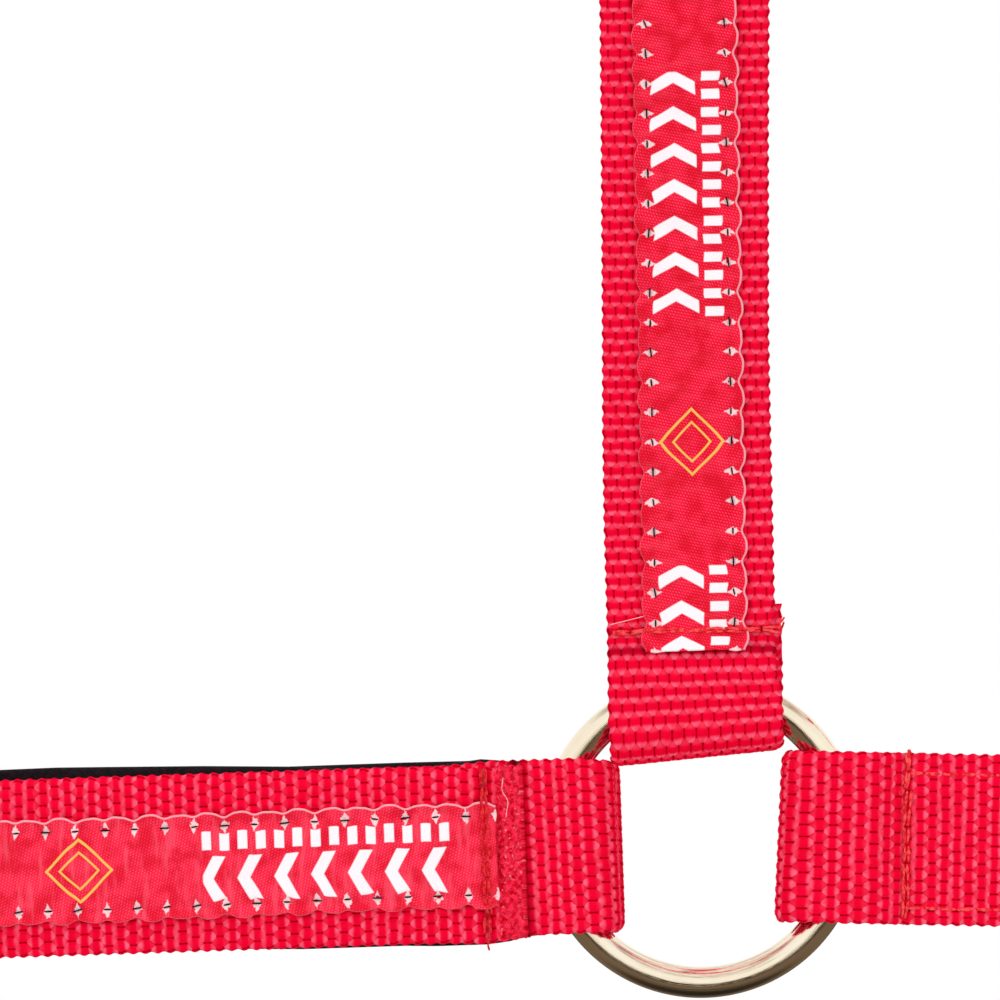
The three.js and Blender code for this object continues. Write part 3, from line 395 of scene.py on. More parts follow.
def connector():
    """The connector strap's place and middle line."""
    rear = chin_line()[1]
    chin = RING_CENTRE + CHIN_RISE * tilted(CHIN_PITCH)[2] + rear * tilted(CHIN_PITCH)[0]
    throat = REAR_BAR + (THROAT_STRAIGHT + THROAT_RADIUS + LAYER) * tilted(THROAT_PITCH)[0]
    heading = math.pi / 2 - rad(THROAT_PITCH)
    end = np.array([math.cos(heading), math.sin(heading)])
    reach = throat[[0, 2]] - (WEB_WIDTH / 2 + BELOW_THROAT) * end - chin[[0, 2]]
    tangent = (reach @ reach - CONNECTOR_START ** 2) / (2 * (reach @ end + CONNECTOR_START))
    corner = reach - tangent * end
    start = math.atan2(corner[1], corner[0])
    bend = heading - start
    spread = THROAT_FOLD - LAYER
    route = round_ring(Route(LOOP_END, LAYER, 180), "x", fold_centre(CONNECTOR_WIDTH / 2))
    route.reach("x", CONNECTOR_START)
    route.turn(math.degrees(bend), tangent / math.tan(bend / 2) + LAYER).go(LOOP_LEAD)
    passing = BELOW_THROAT - LOOP_LEAD - SPREAD_RUN + WEB_WIDTH + 1
    route.shift(-spread, SPREAD_SLOPE, FLARE_RADIUS).go(passing).turn(180, THROAT_FOLD)
    route.go(WEB_WIDTH + 3).shift(spread, SPREAD_SLOPE, FLARE_RADIUS).go(LOOP_TAIL)
    forward = [math.cos(start), 0, math.sin(start)]
    left = [-math.sin(start), 0, math.cos(start)]
    return Place(chin, forward, left), route.line


# ---- meshes ----
def make_object(name, vertices, faces, material, uv=None):
    """A smooth mesh. vertices are in millimetres, in any grid; uv holds an (along, across) for each."""
    mesh = bpy.data.meshes.new(name)
    mesh.from_pydata((np.reshape(vertices, (-1, 3)) * MM).tolist(), [], faces)
    mesh.materials.append(material)
    mesh.polygons.foreach_set("use_smooth", [True] * len(mesh.polygons))
    if uv is not None:
        corners = np.empty(len(mesh.loops), np.int32)
        mesh.loops.foreach_get("vertex_index", corners)
        layer = mesh.uv_layers.new(name="cloth")
        layer.data.foreach_set("uv", np.reshape(uv, (-1, 2)).astype(np.float32)[corners].ravel())
    obj = bpy.data.objects.new(name, mesh)
    bpy.context.scene.collection.objects.link(obj)
    return obj


def loft(rows, count, closed_ends=True):
    """Faces between rows of count points each, closed round, with a cap at both ends."""
    a = np.arange(count)
    b = np.roll(a, -1)
    faces = []
    for i in range(rows - 1):
        low, high = i * count, (i + 1) * count
        faces.append(np.stack([low + a, low + b, high + b, high + a], axis=1))
    faces = np.vstack(faces).tolist()
    if closed_ends:
        faces += [a[::-1].tolist(), (a + (rows - 1) * count).tolist()]
    return faces


class Strip:
    """A strap's middle line in its place. side is 1 where the strap's outer face is on the line's left."""

    def __init__(self, place, line, side):
        self.place = place
        self.points = without_repeats(line)
        self.normals = normals(self.points) * side
        steps = np.linalg.norm(np.diff(self.points, axis=0), axis=1)
        self.s = np.concatenate([[0], np.cumsum(steps)])

    @property
    def length(self):
        return self.s[-1]

    def near(self, xy):
        """How far along the line its point nearest to xy is."""
        fine = np.linspace(0, self.length, 4000)
        flat = np.stack([np.interp(fine, self.s, self.points[:, k]) for k in (0, 1)], axis=1)
        return fine[np.argmin(np.linalg.norm(flat - xy, axis=1))]

    def at(self, s, t, height):
        """Points at s along, t across and height outwards from the middle line."""
        s, t, height = np.broadcast_arrays(*(np.asarray(v, float) for v in (s, t, height)))
        flat = np.stack([np.interp(s, self.s, self.points[:, k]) for k in (0, 1)], axis=-1)
        out = np.stack([np.interp(s, self.s, self.normals[:, k]) for k in (0, 1)], axis=-1)
        out /= np.linalg.norm(out, axis=-1)[..., None]
        return self.place.put(flat + out * height[..., None], t)

    def samples(self, fine, coarse):
        """Places along the line, closer together inside each (start, end, step) of fine."""
        edges = sorted({0.0, self.length, *(min(max(v, 0), self.length) for f in fine for v in f[:2])})
        parts = []
        for a, b in zip(edges, edges[1:]):
            inside = [f[2] for f in fine if f[0] <= (a + b) / 2 <= f[1]]
            step = min(inside, default=coarse)
            parts.append(np.linspace(a, b, max(2, int((b - a) / step) + 1))[:-1])
        return np.concatenate(parts + [[self.length]])


def float_field(s, t):
    """How high the weave's floats stand at a place: 1 on the middle of a float, 0 between them."""
    best = np.zeros(np.broadcast(s, t).shape)
    for shift in (0, 1):
        ds = ((s / ROW + shift) / 2 + 0.5) % 1 - 0.5
        dt = (t / COLUMN + 0.5 * shift + 0.5) % 1 - 0.5
        along = np.abs(ds * 2 * ROW / FLOAT_LENGTH) ** END_SHAPE
        best = np.maximum(best, 1 - along - np.abs(dt * COLUMN / FLOAT_WIDTH) ** SIDE_SHAPE)
    return np.sqrt(best)


def bumps(s, places):
    """A smooth rise at each (at, height, reach), stacked along the first axis."""
    rises = [height * np.exp(-((s - at) / reach) ** 2) for at, height, reach in places]
    return np.array(rises).reshape(-1, *s.shape)


def in_hole(middle, holes):
    return any(math.hypot(middle[0] - at, middle[1]) <= radius for at, radius in holes)


def webbing(name, strip, width, material, thickness=WEB_THICK, fine=(), coarse=1.2, pitch=COARSE_PITCH,
            dents=(), melted=(), holes=(), drift=None, spread=None, shades=(), skew=None):
    """A woven strap. dents are (s, depth, reach) of seams, melted is an (s, s) stretch fused flat,
    drift and spread give a sideways offset and a width factor at places along it, shades are
    (s, amount, reach) of painted shade in a groove or beside a seam, and skew is (s, reach, lift, slope,
    direction) of a fold pulled askew."""
    count = int(width / pitch)
    front = np.concatenate([[-1, -0.991], np.linspace(-0.97, 0.97, count), [0.991, 1]])
    back = np.linspace(0.95, -0.95, max(8, count // 3))
    u = np.concatenate([front, back])
    face = np.concatenate([np.ones(len(front)), -np.ones(len(back))])
    edge_squareness = 30
    body = thickness / 2 * np.sqrt(1 - np.abs(u) ** edge_squareness)
    grid_s, grid_u = np.meshgrid(strip.samples(fine, coarse), u, indexing="ij")
    t = grid_u * width / 2
    cloth_t = t.copy()
    on_edge = np.sign(grid_u) * (np.abs(grid_u) > 0.96)
    t = t + on_edge * SCALLOP * np.cos(2 * math.pi * grid_s / ROW)
    if spread:
        t = t * np.interp(grid_s, *spread)
    if drift:
        t = t + np.interp(grid_s, *drift)
    relief = RELIEF * (float_field(grid_s, cloth_t) - 0.5) * (1 - np.abs(grid_u) ** 16)
    melt = np.zeros_like(grid_s)
    if melted:
        melt = np.clip(np.minimum(grid_s - melted[0], melted[1] - grid_s) / 1.2 + 0.5, 0, 1)
        waves = 0.12 * np.sin(grid_s * 2.9 + 1.7 * np.sin(t * 0.8)) + 0.1 * np.sin(t * 2.3 + grid_s)
        relief = relief * (1 - 0.85 * melt) + melt * (waves - 0.1)
    relief = relief - bumps(grid_s, dents).sum(axis=0)
    slow = 0.1 * np.sin(grid_s / 9.1 + grid_u * 1.3) * np.sin(grid_s / 23.0)
    points = strip.at(grid_s, t, face * (body + relief) + slow)
    if skew:
        at, reach, lift, slope, direction = skew
        pull = (lift + slope * grid_u) * bumps(grid_s, [(at, 1, reach)])[0]
        points = points + pull[..., None] * np.asarray(direction)
    uv = np.stack([grid_s.ravel(), cloth_t.ravel()], axis=1)
    faces = [f for f in loft(*grid_s.shape) if len(f) > 4 or not in_hole(uv[f].mean(axis=0), holes)]
    obj = make_object(name, points, faces, material, uv)
    # painted shade: a darker band of colour laid in a groove or beside a seam, where shade falls
    groove_shade = bumps(grid_s, shades).max(axis=0, initial=0)
    for key, values in (("groove_shade", groove_shade), ("melt", melt)):
        layer = obj.data.attributes.new(key, "FLOAT", "POINT")
        layer.data.foreach_set("value", values.ravel().astype(np.float32))
    return obj


def ribbon(name, strip, material, fine=(), coarse=0.8, drift=None, dents=()):
    """A satin ribbon, drawn in at its stitches and proud between them; dents are (s, depth, reach)."""
    s = strip.samples(fine, coarse)
    u = np.linspace(-1, 1, 45)
    grid_s, grid_u = np.meshgrid(s, u, indexing="ij")
    half = RIBBON_WIDTH / 2
    beat = 0.5 + 0.5 * np.cos(2 * math.pi * grid_s / STITCH)
    edge = half - DRAWN_IN * beat ** 2 + 0.14 * np.sin(grid_s * 0.9)
    t = grid_u * edge
    flat_t = grid_u * half
    by_row = np.exp(-((np.abs(flat_t) - STITCH_ROW) / 0.8) ** 2)
    outside = np.clip((np.abs(flat_t) - STITCH_ROW) / 1.6, 0, 1)
    height = 0.16 * np.sin(grid_s * 0.7 + t * 0.35) * (1 - outside) + 0.3 - 0.42 * by_row * beat
    height = height - 0.12 * by_row + outside * (0.3 - 0.35 * beat)
    height = height - bumps(grid_s, dents).sum(axis=0)
    if drift:
        t = t + np.interp(grid_s, *drift)
    top = strip.at(grid_s, t, height)
    low = strip.at(grid_s, t, height - 0.28)
    points = np.concatenate([top, low[:, ::-1]], axis=1)
    uv = np.stack([grid_s, flat_t], axis=-1)
    uv = np.concatenate([uv, uv[:, ::-1]], axis=1)
    return make_object(name, points, loft(len(s), 2 * len(u)), material, uv)


def tubes(name, paths, radius, material, sides=6):
    """Round threads or wires along paths, thinner at their ends."""
    vertices, faces, base = [], [], 0
    for path in paths:
        path = np.asarray(path, float)
        tangent = np.gradient(path, axis=0)
        tangent /= np.linalg.norm(tangent, axis=1)[:, None] + 1e-9
        a = np.cross(tangent, [0.31, 0.52, 0.79])
        a /= np.linalg.norm(a, axis=1)[:, None] + 1e-9
        b = np.cross(tangent, a)
        angles = np.arange(sides) * 2 * math.pi / sides
        taper = np.ones(len(path))
        taper[[0, -1]] = 0.45
        ring = np.cos(angles)[None, :, None] * a[:, None] + np.sin(angles)[None, :, None] * b[:, None]
        vertices.append((path[:, None] + ring * (radius * taper)[:, None, None]).reshape(-1, 3))
        faces += [[base + v for v in f] for f in loft(len(path), sides)]
        base += len(path) * sides
    return make_object(name, np.vstack(vertices), faces, material)


def sewn_line(strip, start, end, height, stitch=2.7, wander=0.12, over=0.0):
    """Two-ply stitches between two (s, t) places on a strap, each sinking at both ends; over is how
    much higher they run where they cross the ribbon."""
    start, end = np.array(start, float), np.array(end, float)
    count = max(1, round(np.linalg.norm(end - start) / stitch))
    side = np.array([-(end - start)[1], (end - start)[0]]) / np.linalg.norm(end - start)
    paths = []
    for i in range(count):
        w = np.linspace(0.04, 0.96, 9)
        lean = rng.normal(0, wander, 2)
        for ply in (0, math.pi):
            f = (i + w) / count
            twist = w * 5.2 + ply
            drift = lean[0] * (1 - w) + lean[1] * w + 0.11 * np.cos(twist)
            flat = start + f[:, None] * (end - start) + drift[:, None] * side
            rise = height - 0.3 + 0.5 * np.sin(math.pi * w) ** 0.6 + 0.11 * np.sin(twist)
            rise += over * np.clip((RIBBON_WIDTH / 2 + 0.4 - np.abs(flat[:, 1])) / 0.7, 0, 1)
            paths.append(strip.at(flat[:, 0], flat[:, 1], rise))
    return paths


def cross_seam(strip, s, width, low=0.6, high=0.6, height=SEAM_HEIGHT, **how):
    """A line of stitches straight across a strap; low and high are how far its ends stay from the edges."""
    return sewn_line(strip, (s, low - width / 2), (s, width / 2 - high), height, **how)


def box_stitch(strip, s0, s1, width=WEB_WIDTH, height=1.1, inset=2.6):
    """A box of stitching with its two rows across and two along."""
    t = width / 2 - inset
    lines = [((s0, -t), (s0, t)), ((s1, t), (s1, -t)), ((s0, t), (s1, t)), ((s1, -t), (s0, -t))]
    return [path for a, b in lines for path in sewn_line(strip, a, b, height, wander=0.05)]


def wisp(strip, s, t, height, heading, length, curl):
    """A loose end of thread that wanders over the strap."""
    n = 24
    w = np.linspace(0, 1, n)
    turn = heading + curl * np.sin(w * 5.1 + s) + 0.5 * curl * np.sin(w * 13 + t)
    step = length / n
    flat_s = s + np.cumsum(np.cos(turn)) * step
    flat_t = t + np.cumsum(np.sin(turn)) * step
    return strip.at(flat_s, flat_t, height + 0.25 * np.sin(w * math.pi))


def closed_quads(rows, count):
    """Faces of a grid that closes on itself both ways, as a ring's does."""
    i, j = np.meshgrid(np.arange(rows), np.arange(count), indexing="ij")
    ni, nj = (i + 1) % rows, (j + 1) % count
    quads = np.stack([i * count + j, ni * count + j, ni * count + nj, i * count + nj], axis=-1)
    return quads.reshape(-1, 4).tolist()


def torus(name, centre, x, y, radius, wire, material, around=220, section=36):
    x, y = np.asarray(x, float), np.asarray(y, float)
    z = np.cross(x, y)
    a = np.arange(around) * 2 * math.pi / around
    b = np.arange(section) * 2 * math.pi / section
    out = np.cos(a)[:, None] * x + np.sin(a)[:, None] * y
    reach = (radius + wire * np.cos(b))[None, :, None]
    points = centre + out[:, None] * reach + (wire * np.sin(b))[None, :, None] * z
    uv = np.stack(np.meshgrid(radius * a, wire * np.abs(b - math.pi), indexing="ij"), axis=-1)
    return make_object(name, points, closed_quads(around, section), material, uv)


def square_frame(name, centre, x, y, inner, bar_size, corner, material):
    """A square with rounded corners, of bar with rounded edges."""
    x, y = np.asarray(x, float), np.asarray(y, float)
    z = np.cross(x, y)
    straight = (inner + bar_size) / 2 - corner
    path, outward = [], []
    for k, (right, up) in enumerate([(1, 1), (-1, 1), (-1, -1), (1, -1)]):
        for a in np.linspace(k, k + 1, 13) * math.pi / 2:
            out = np.array([math.cos(a), math.sin(a)])
            path.append(straight * np.array([right, up]) + corner * out)
            outward.append(out)
    path, outward = np.array(path), np.array(outward)
    b = np.arange(28) * 2 * math.pi / 28
    squareness = 0.62
    cs = np.sign(np.cos(b)) * np.abs(np.cos(b)) ** squareness * bar_size / 2
    sn = np.sign(np.sin(b)) * np.abs(np.sin(b)) ** squareness * bar_size / 2
    flat = path[:, None] + outward[:, None] * cs[None, :, None]
    points = centre + flat[..., :1] * x + flat[..., 1:] * y + sn[None, :, None] * z
    rows, ring = len(path), len(b)
    faces = loft(rows, ring, closed_ends=False)
    a = np.arange(ring)
    last = (rows - 1) * ring
    faces += np.stack([last + a, last + np.roll(a, -1), np.roll(a, -1), a], axis=1).tolist()
    return make_object(name, points, faces, material)


def cast_from(node, name, material, voxel=0.32, rounds=5):
    """A smooth cast part from a faceted node of the model."""
    obj = bpy.data.objects.new(name, NODES[node].data.copy())
    bpy.context.scene.collection.objects.link(obj)
    remesh = obj.modifiers.new("skin", "REMESH")
    remesh.mode = "VOXEL"
    remesh.voxel_size = voxel * MM
    smooth = obj.modifiers.new("polish", "SMOOTH")
    smooth.iterations = rounds
    evaluated = obj.evaluated_get(bpy.context.evaluated_depsgraph_get())
    obj.data = bpy.data.meshes.new_from_object(evaluated)
    obj.modifiers.clear()
    obj.data.materials.clear()
    obj.data.materials.append(material)
    obj.data.polygons.foreach_set("use_smooth", [True] * len(obj.data.polygons))
    return obj


def settle(obj, body, slot, *nodes):
    """The piece moves with a body and stands for the nodes, which it hides; slot is not used."""
    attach(obj, body)
    if nodes:
        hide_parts(*nodes)


# ---- materials ----
class Value:
    """A socket of a material that takes part in arithmetic; a | b is the larger of the two."""

    def __init__(self, shader, socket):
        self.shader, self.socket = shader, socket

    def work(self, operation, other=0.0):
        return self.shader.math(operation, self, other)

    __add__ = partialmethod(work, "ADD")
    __sub__ = partialmethod(work, "SUBTRACT")
    __mul__ = partialmethod(work, "MULTIPLY")
    __truediv__ = partialmethod(work, "DIVIDE")
    __pow__ = partialmethod(work, "POWER")
    __or__ = partialmethod(work, "MAXIMUM")
    __gt__ = partialmethod(work, "GREATER_THAN")
    __abs__ = partialmethod(work, "ABSOLUTE")

    def __rsub__(self, other):
        return self.shader.math("SUBTRACT", other, self)


def colour(red, green, blue):
    """A linear colour from 0 to 255 sRGB values."""
    values = [v / 255 for v in (red, green, blue)]
    return tuple(v / 12.92 if v <= 0.04045 else ((v + 0.055) / 1.055) ** 2.4 for v in values) + (1.0,)


class Nodes:
    """A node tree, built by short calls."""

    def __init__(self, tree):
        self.tree = tree

    def feed(self, socket, value):
        if isinstance(value, Value):
            self.tree.links.new(value.socket, socket)
        else:
            socket.default_value = value

    def node(self, kind, inputs=(), output=0, **settings):
        node = self.tree.nodes.new(kind)
        for key, value in settings.items():
            setattr(node, key, value)
        for socket, value in dict(inputs).items():
            self.feed(node.inputs[socket], value)
        return Value(self, node.outputs[output])

    def math(self, operation, a, b=0.0):
        return self.node("ShaderNodeMath", {0: a, 1: b}, operation=operation)

    def ramp(self, value, low, high, to_low=0.0, to_high=1.0):
        """From to_low where value is low to to_high where it is high, smoothly."""
        inputs = {0: value, 1: low, 2: high, 3: to_low, 4: to_high}
        return self.node("ShaderNodeMapRange", inputs, interpolation_type="SMOOTHSTEP")

    def mix(self, factor, a, b):
        return self.node("ShaderNodeMix", {0: factor, 6: a, 7: b}, output=2, data_type="RGBA")

    def noise(self, vector, scale, detail=2.0, rough=0.5):
        inputs = {"Vector": vector, "Scale": scale, "Detail": detail, "Roughness": rough}
        return self.node("ShaderNodeTexNoise", inputs)


class Shader(Nodes):
    """A surface material."""

    def __init__(self, name, **surface):
        self.material = bpy.data.materials.new(name)
        self.material.use_nodes = True
        super().__init__(self.material.node_tree)
        self.surface = self.tree.nodes["Principled BSDF"]
        self.set(**surface)

    def set(self, **sockets):
        for socket, value in sockets.items():
            self.feed(self.surface.inputs[socket.replace("_", " ")], value)
        return self.material

    def paint(self, base, *coats):
        """Coats of (how much, (red, green, blue)) over a base."""
        for factor, rgb in coats:
            base = self.mix(factor, base, colour(*rgb))
        return base

    @cached_property
    def cloth(self):
        """(along, across) in millimetres."""
        uv = self.node("ShaderNodeUVMap", uv_map="cloth")
        return [self.node("ShaderNodeSeparateXYZ", {0: uv}, output=k) for k in (0, 1)]

    def cloth_noise(self, along, across, detail=2.0, rough=0.5, seed=0.0):
        """Noise over the cloth; along and across say how fast it changes each way."""
        s, t = self.cloth
        place = self.node("ShaderNodeCombineXYZ", {0: s * along, 1: t * across, 2: seed})
        return self.noise(place, 1.0, detail, rough)

    def painted(self, name):
        """A value held by each point of the mesh."""
        return self.node("ShaderNodeAttribute", output="Fac", attribute_name=name)

    def position(self):
        return self.node("ShaderNodeTexCoord", output="Object")

    def bump(self, height, distance, strength=1.0, **before):
        inputs = {"Height": height, "Distance": distance, "Strength": strength, **before}
        return self.node("ShaderNodeBump", inputs)

    def wrapped(self, value, period, shift=0.0):
        """Distance from the nearest multiple of period, signed."""
        turns = self.math("FRACT", value * (1 / period) + (0.5 + shift))
        return (turns - 0.5) * period

    def near_zero(self, value, reach, soft):
        """1 where value is within reach of zero, fading over soft."""
        return self.ramp(abs(value), reach + soft / 2, reach - soft / 2)


def webbing_material(name, low_end=None, high_end=None):
    """Beads of nylon yarn, with painted light: a painted highlight streak at one end or both, and
    painted shade darkening each float's wine waist and the valleys between floats. low_end and
    high_end set how bright the streaks are; without them they vary from row to row."""
    sh = Shader(name, Roughness=0.5, Specular_IOR_Level=0.0)
    s, t = sh.cloth
    s_bent = sh.cloth_noise(0.45, 0.45, 1.0) * 0.5 + s
    heights, ends = [], []
    for shift in (0.0, 0.5):
        ds = sh.wrapped(s_bent, 2 * ROW, shift) / FLOAT_LENGTH
        dt = sh.wrapped(t, COLUMN, shift) / FLOAT_WIDTH
        heights.append(1.0 - (abs(ds) ** END_SHAPE + abs(dt) ** SIDE_SHAPE))
        ends.append(ds)
    upper = heights[0] > heights[1]
    height = sh.math("SQRT", heights[0] | heights[1] | 0.0)
    end = upper * ends[0] + (1.0 - upper) * ends[1]
    fibre = sh.cloth_noise(0.6, 8.0, 3.0, 0.6)
    broad = sh.cloth_noise(0.22, 0.3)
    grain = sh.cloth_noise(0.8, 0.8, 1.0, seed=4.0)
    turning = sh.cloth_noise(0.42, 0.05, 1.0, seed=7.0)
    low = sh.ramp(turning, 0.6, 0.42, 0.15, 1.0) if low_end is None else low_end
    high = sh.ramp(turning, 0.4, 0.58, 0.15, 1.0) if high_end is None else high_end
    # painted highlights: pale pink streaks near the ends of the floats, where light would glint
    streaks = []
    for way, amount in ((-1.0, low), (1.0, high)):
        out = end * way
        streaks.append(sh.ramp(out, 0.22, 0.6) * sh.ramp(out, 0.98, 0.78) * amount)
    painted_highlight = (streaks[0] | streaks[1]) * sh.ramp(height, 0.22, 0.56)
    painted_highlight = painted_highlight * sh.ramp(grain, 0.3, 0.62, 0.45, 1.0) * sh.ramp(fibre, 0.3, 0.6, 0.7, 1.0)
    # painted shade: each float's waist and the low valleys between floats are painted darker
    side = sh.ramp(abs(end), 0.8, 0.2) * sh.ramp(height, 0.4, 0.08)
    base = sh.mix(sh.ramp(height, 0.1, 0.55), colour(208, 0, 20), colour(242, 6, 52))
    base = sh.paint(base, (sh.ramp(broad, 0.35, 0.7, 0.0, 0.25), (218, 0, 28)),
                    (sh.ramp(height, 0.4, 0.12, 0.0, 0.5), (186, 0, 16)), (side * 0.6, (158, 0, 12)),
                    (painted_highlight * 0.9, (255, 112, 144)), (sh.ramp(fibre, 0.4, 0.75, 0.0, 0.1), (255, 24, 68)))
    # the fused end of a cut strap: no yarns, mottled, with pale specks
    melt = sh.painted("melt")
    mottle = sh.cloth_noise(1.3, 1.3, 3.0, 0.65)
    specks = sh.cloth_noise(1.7, 1.7, 3.0, 0.65, seed=15.3)
    fused = sh.mix(sh.ramp(mottle, 0.38, 0.62), colour(196, 0, 18), colour(255, 48, 84))
    fused = sh.paint(fused, (sh.ramp(specks, 0.6, 0.72, 0.0, 0.7), (255, 176, 190)))
    # painted shade: a dark wine colour laid over grooves and beside seams
    base = sh.paint(sh.mix(melt * 0.85, base, fused), (sh.painted("groove_shade"), (96, 0, 12)))
    relief = fibre * 0.14 + height * (1.0 - melt) + melt * mottle * 1.4
    return sh.set(Base_Color=base, Normal=sh.bump(relief, 0.25 * MM, 0.7))


def stitch_marks(sh):
    """Where a ribbon's stitches pull its white ground into view."""
    s, t = sh.cloth
    ragged = sh.cloth_noise(1.6, 1.6, 3.0, 0.7)
    frayed = sh.cloth_noise(0.9, 0.9, 2.0, 0.6, seed=4.5)
    by_stitch = abs(sh.wrapped((frayed - 0.5) * 1.1 + s, STITCH)) / 0.62 + ragged * 0.5
    by_row = abs((ragged - 0.5) * 0.9 + (abs(t) - STITCH_ROW)) / 1.2
    return sh.ramp(by_stitch + by_row, 1.4, 1.05, 0.0, 0.9)


def ribbon_pattern(sh, period, offset):
    """(white, gold) of the woven pattern: chevrons, a row of bars and an open diamond."""
    s, t = sh.cloth
    along = sh.wrapped(s + offset, period)
    in_block = sh.near_zero(along + period / 4, 19.0, 0.3)
    arm = t + 1.95
    chevron = sh.near_zero(sh.wrapped(abs(arm) * 0.55 + along, 5.43), 0.95, 0.25)
    chevron = chevron * sh.near_zero(arm, 3.35, 0.2)
    bars = sh.near_zero(sh.wrapped(along, 2.7), 0.72, 0.2) * sh.near_zero(t - 3.65, 1.35, 0.2)
    size = abs(along - 19.0) + abs(t)
    gold = sh.near_zero(size - 4.9, 0.27, 0.12) | sh.near_zero(size - 2.9, 0.22, 0.12)
    return in_block * (chevron | bars), gold


def ribbon_material(name, offset, deep, light, sheen=0.1, period=73.5):
    """Satin with fine dots, pale marks at the stitches and a plain woven pattern, with painted sheen
    streaks and a painted highlight along its edges.
    """
    sh = Shader(name, Roughness=0.42, Specular_IOR_Level=0.08)
    s, t = sh.cloth
    slant = t * 0.22 + s
    row, column = sh.wrapped(slant, 0.44), sh.wrapped(slant * 0.5 + t, 0.46)
    dots = sh.ramp(abs(row), 0.16, 0.04) * sh.ramp(abs(column), 0.17, 0.05)
    patch = sh.cloth_noise(0.3, 0.35)
    # painted sheen: pale streaks across the satin
    sheen_streaks = sh.cloth_noise(0.85, 0.12, seed=3.0)
    # painted highlight along the edges, strong on one edge and faint on the other
    edge = sh.ramp(t, 7.42, 7.6) | sh.ramp(t, -7.6, -7.75, 0.0, 0.2)
    white, gold = ribbon_pattern(sh, period, offset)
    white = white * sh.ramp(dots, 0.0, 1.0, 1.0, 0.94)
    base = sh.paint(sh.mix(sh.ramp(patch, 0.35, 0.65), deep, light),
                    (dots * sh.ramp(patch, 0.3, 0.6, 0.2, 0.62), (255, 96, 124)),
                    (sh.ramp(sheen_streaks, 0.5, 0.72, 0.0, sheen), (255, 104, 126)),
                    (white, (250, 244, 248)), (gold, (244, 190, 92)), (edge * 0.8, (255, 178, 190)),
                    (stitch_marks(sh), (255, 226, 228)))
    thread = dots * 0.5 + (white | gold) * 0.4
    return sh.set(Base_Color=base, Normal=sh.bump(thread, 0.07 * MM, 0.5))


def padding_material():
    sh = Shader("black_padding", Roughness=0.8, Specular_IOR_Level=0.1)
    s, t = sh.cloth
    knit = sh.math("COSINE", s * 11.0) * sh.math("COSINE", t * 11.0 + s * 3.0)
    fuzz = sh.cloth_noise(1.3, 1.3, 4.0, 0.6)
    base = sh.mix(sh.ramp(fuzz, 0.3, 0.7), colour(12, 8, 11), colour(31, 22, 28))
    base = sh.paint(base, (sh.ramp(knit, 0.2, 1.0, 0.0, 0.35), (46, 36, 43)))
    return sh.set(Base_Color=base, Normal=sh.bump(knit * 0.4 + fuzz, 0.12 * MM, 0.5))


def thread_material(name, dark, light, roughness=0.5):
    sh = Shader(name, Roughness=roughness, Specular_IOR_Level=0.15)
    ply = sh.noise(sh.position(), 1400.0, 2.0)
    return sh.set(Base_Color=sh.mix(sh.ramp(ply, 0.35, 0.65), colour(*dark), colour(*light)))


def metal_material(name, light, dark, roughness, drawn=False):
    """Polished metal; drawn wire keeps faint lines along its length."""
    sh = Shader(name, Metallic=1.0)
    place = sh.position()
    broad = sh.noise(place, 90.0, 3.0)
    fine = sh.noise(place, 1500.0, 3.0, 0.7)
    base = sh.mix(sh.ramp(broad, 0.3, 0.7), (*dark, 1), (*light, 1))
    rough = sh.ramp(fine, 0.35, 0.75, roughness, roughness + 0.07)
    normal = sh.bump(fine * 0.04 + sh.noise(place, 260.0, 1.0), 0.05 * MM, 0.25)
    if drawn:
        lines = sh.cloth_noise(0.05, 2.6, 4.0, 0.65)
        base = sh.paint(base, (sh.ramp(lines, 0.56, 0.72, 0.0, 0.4), (176, 132, 108)))
        normal = sh.bump(lines, 0.09 * MM, 0.5, Normal=normal)
    return sh.set(Base_Color=base, Roughness=rough, Normal=normal)


RED = webbing_material("red_nylon_webbing")
# painted highlights on the cheek strap: full streaks at one end of each float, faint ones at the other
CHEEK_RED = webbing_material("red_nylon_cheek_webbing", 1.0, 0.3)
SATIN = colour(226, 2, 38), colour(243, 12, 54)
# painted light: the noseband's satin is painted lighter and pinker than the other ribbons, with stronger
# painted sheen
LIT_SATIN = colour(228, 14, 46), colour(250, 38, 70)
NOSE_SATIN = ribbon_material("nose_ribbon_satin", -42.8, *LIT_SATIN, sheen=0.35)
CHEEK_SATIN = ribbon_material("cheek_ribbon_satin", -12.2, *SATIN)
CROWN_SATIN = ribbon_material("crown_ribbon_satin", 0.0, *SATIN)
BLACK = padding_material()
RED_THREAD = thread_material("red_thread", (226, 26, 40), (255, 88, 92), 0.7)
DARK_THREAD = thread_material("dark_thread", (14, 8, 12), (44, 26, 32))
WINE_THREAD = thread_material("wine_thread", (206, 10, 26), (244, 52, 60), 0.7)
PALE_THREAD = thread_material("pale_thread", (255, 170, 180), (255, 214, 218))
GOLD = metal_material("pale_gold", (0.94, 0.86, 0.72), (0.88, 0.77, 0.6), 0.05)
GOLD_WIRE = metal_material("pale_gold_wire", (0.96, 0.9, 0.79), (0.9, 0.81, 0.67), 0.05, drawn=True)
STEEL = metal_material("spring_steel", (0.62, 0.61, 0.6), (0.5, 0.5, 0.5), 0.22)


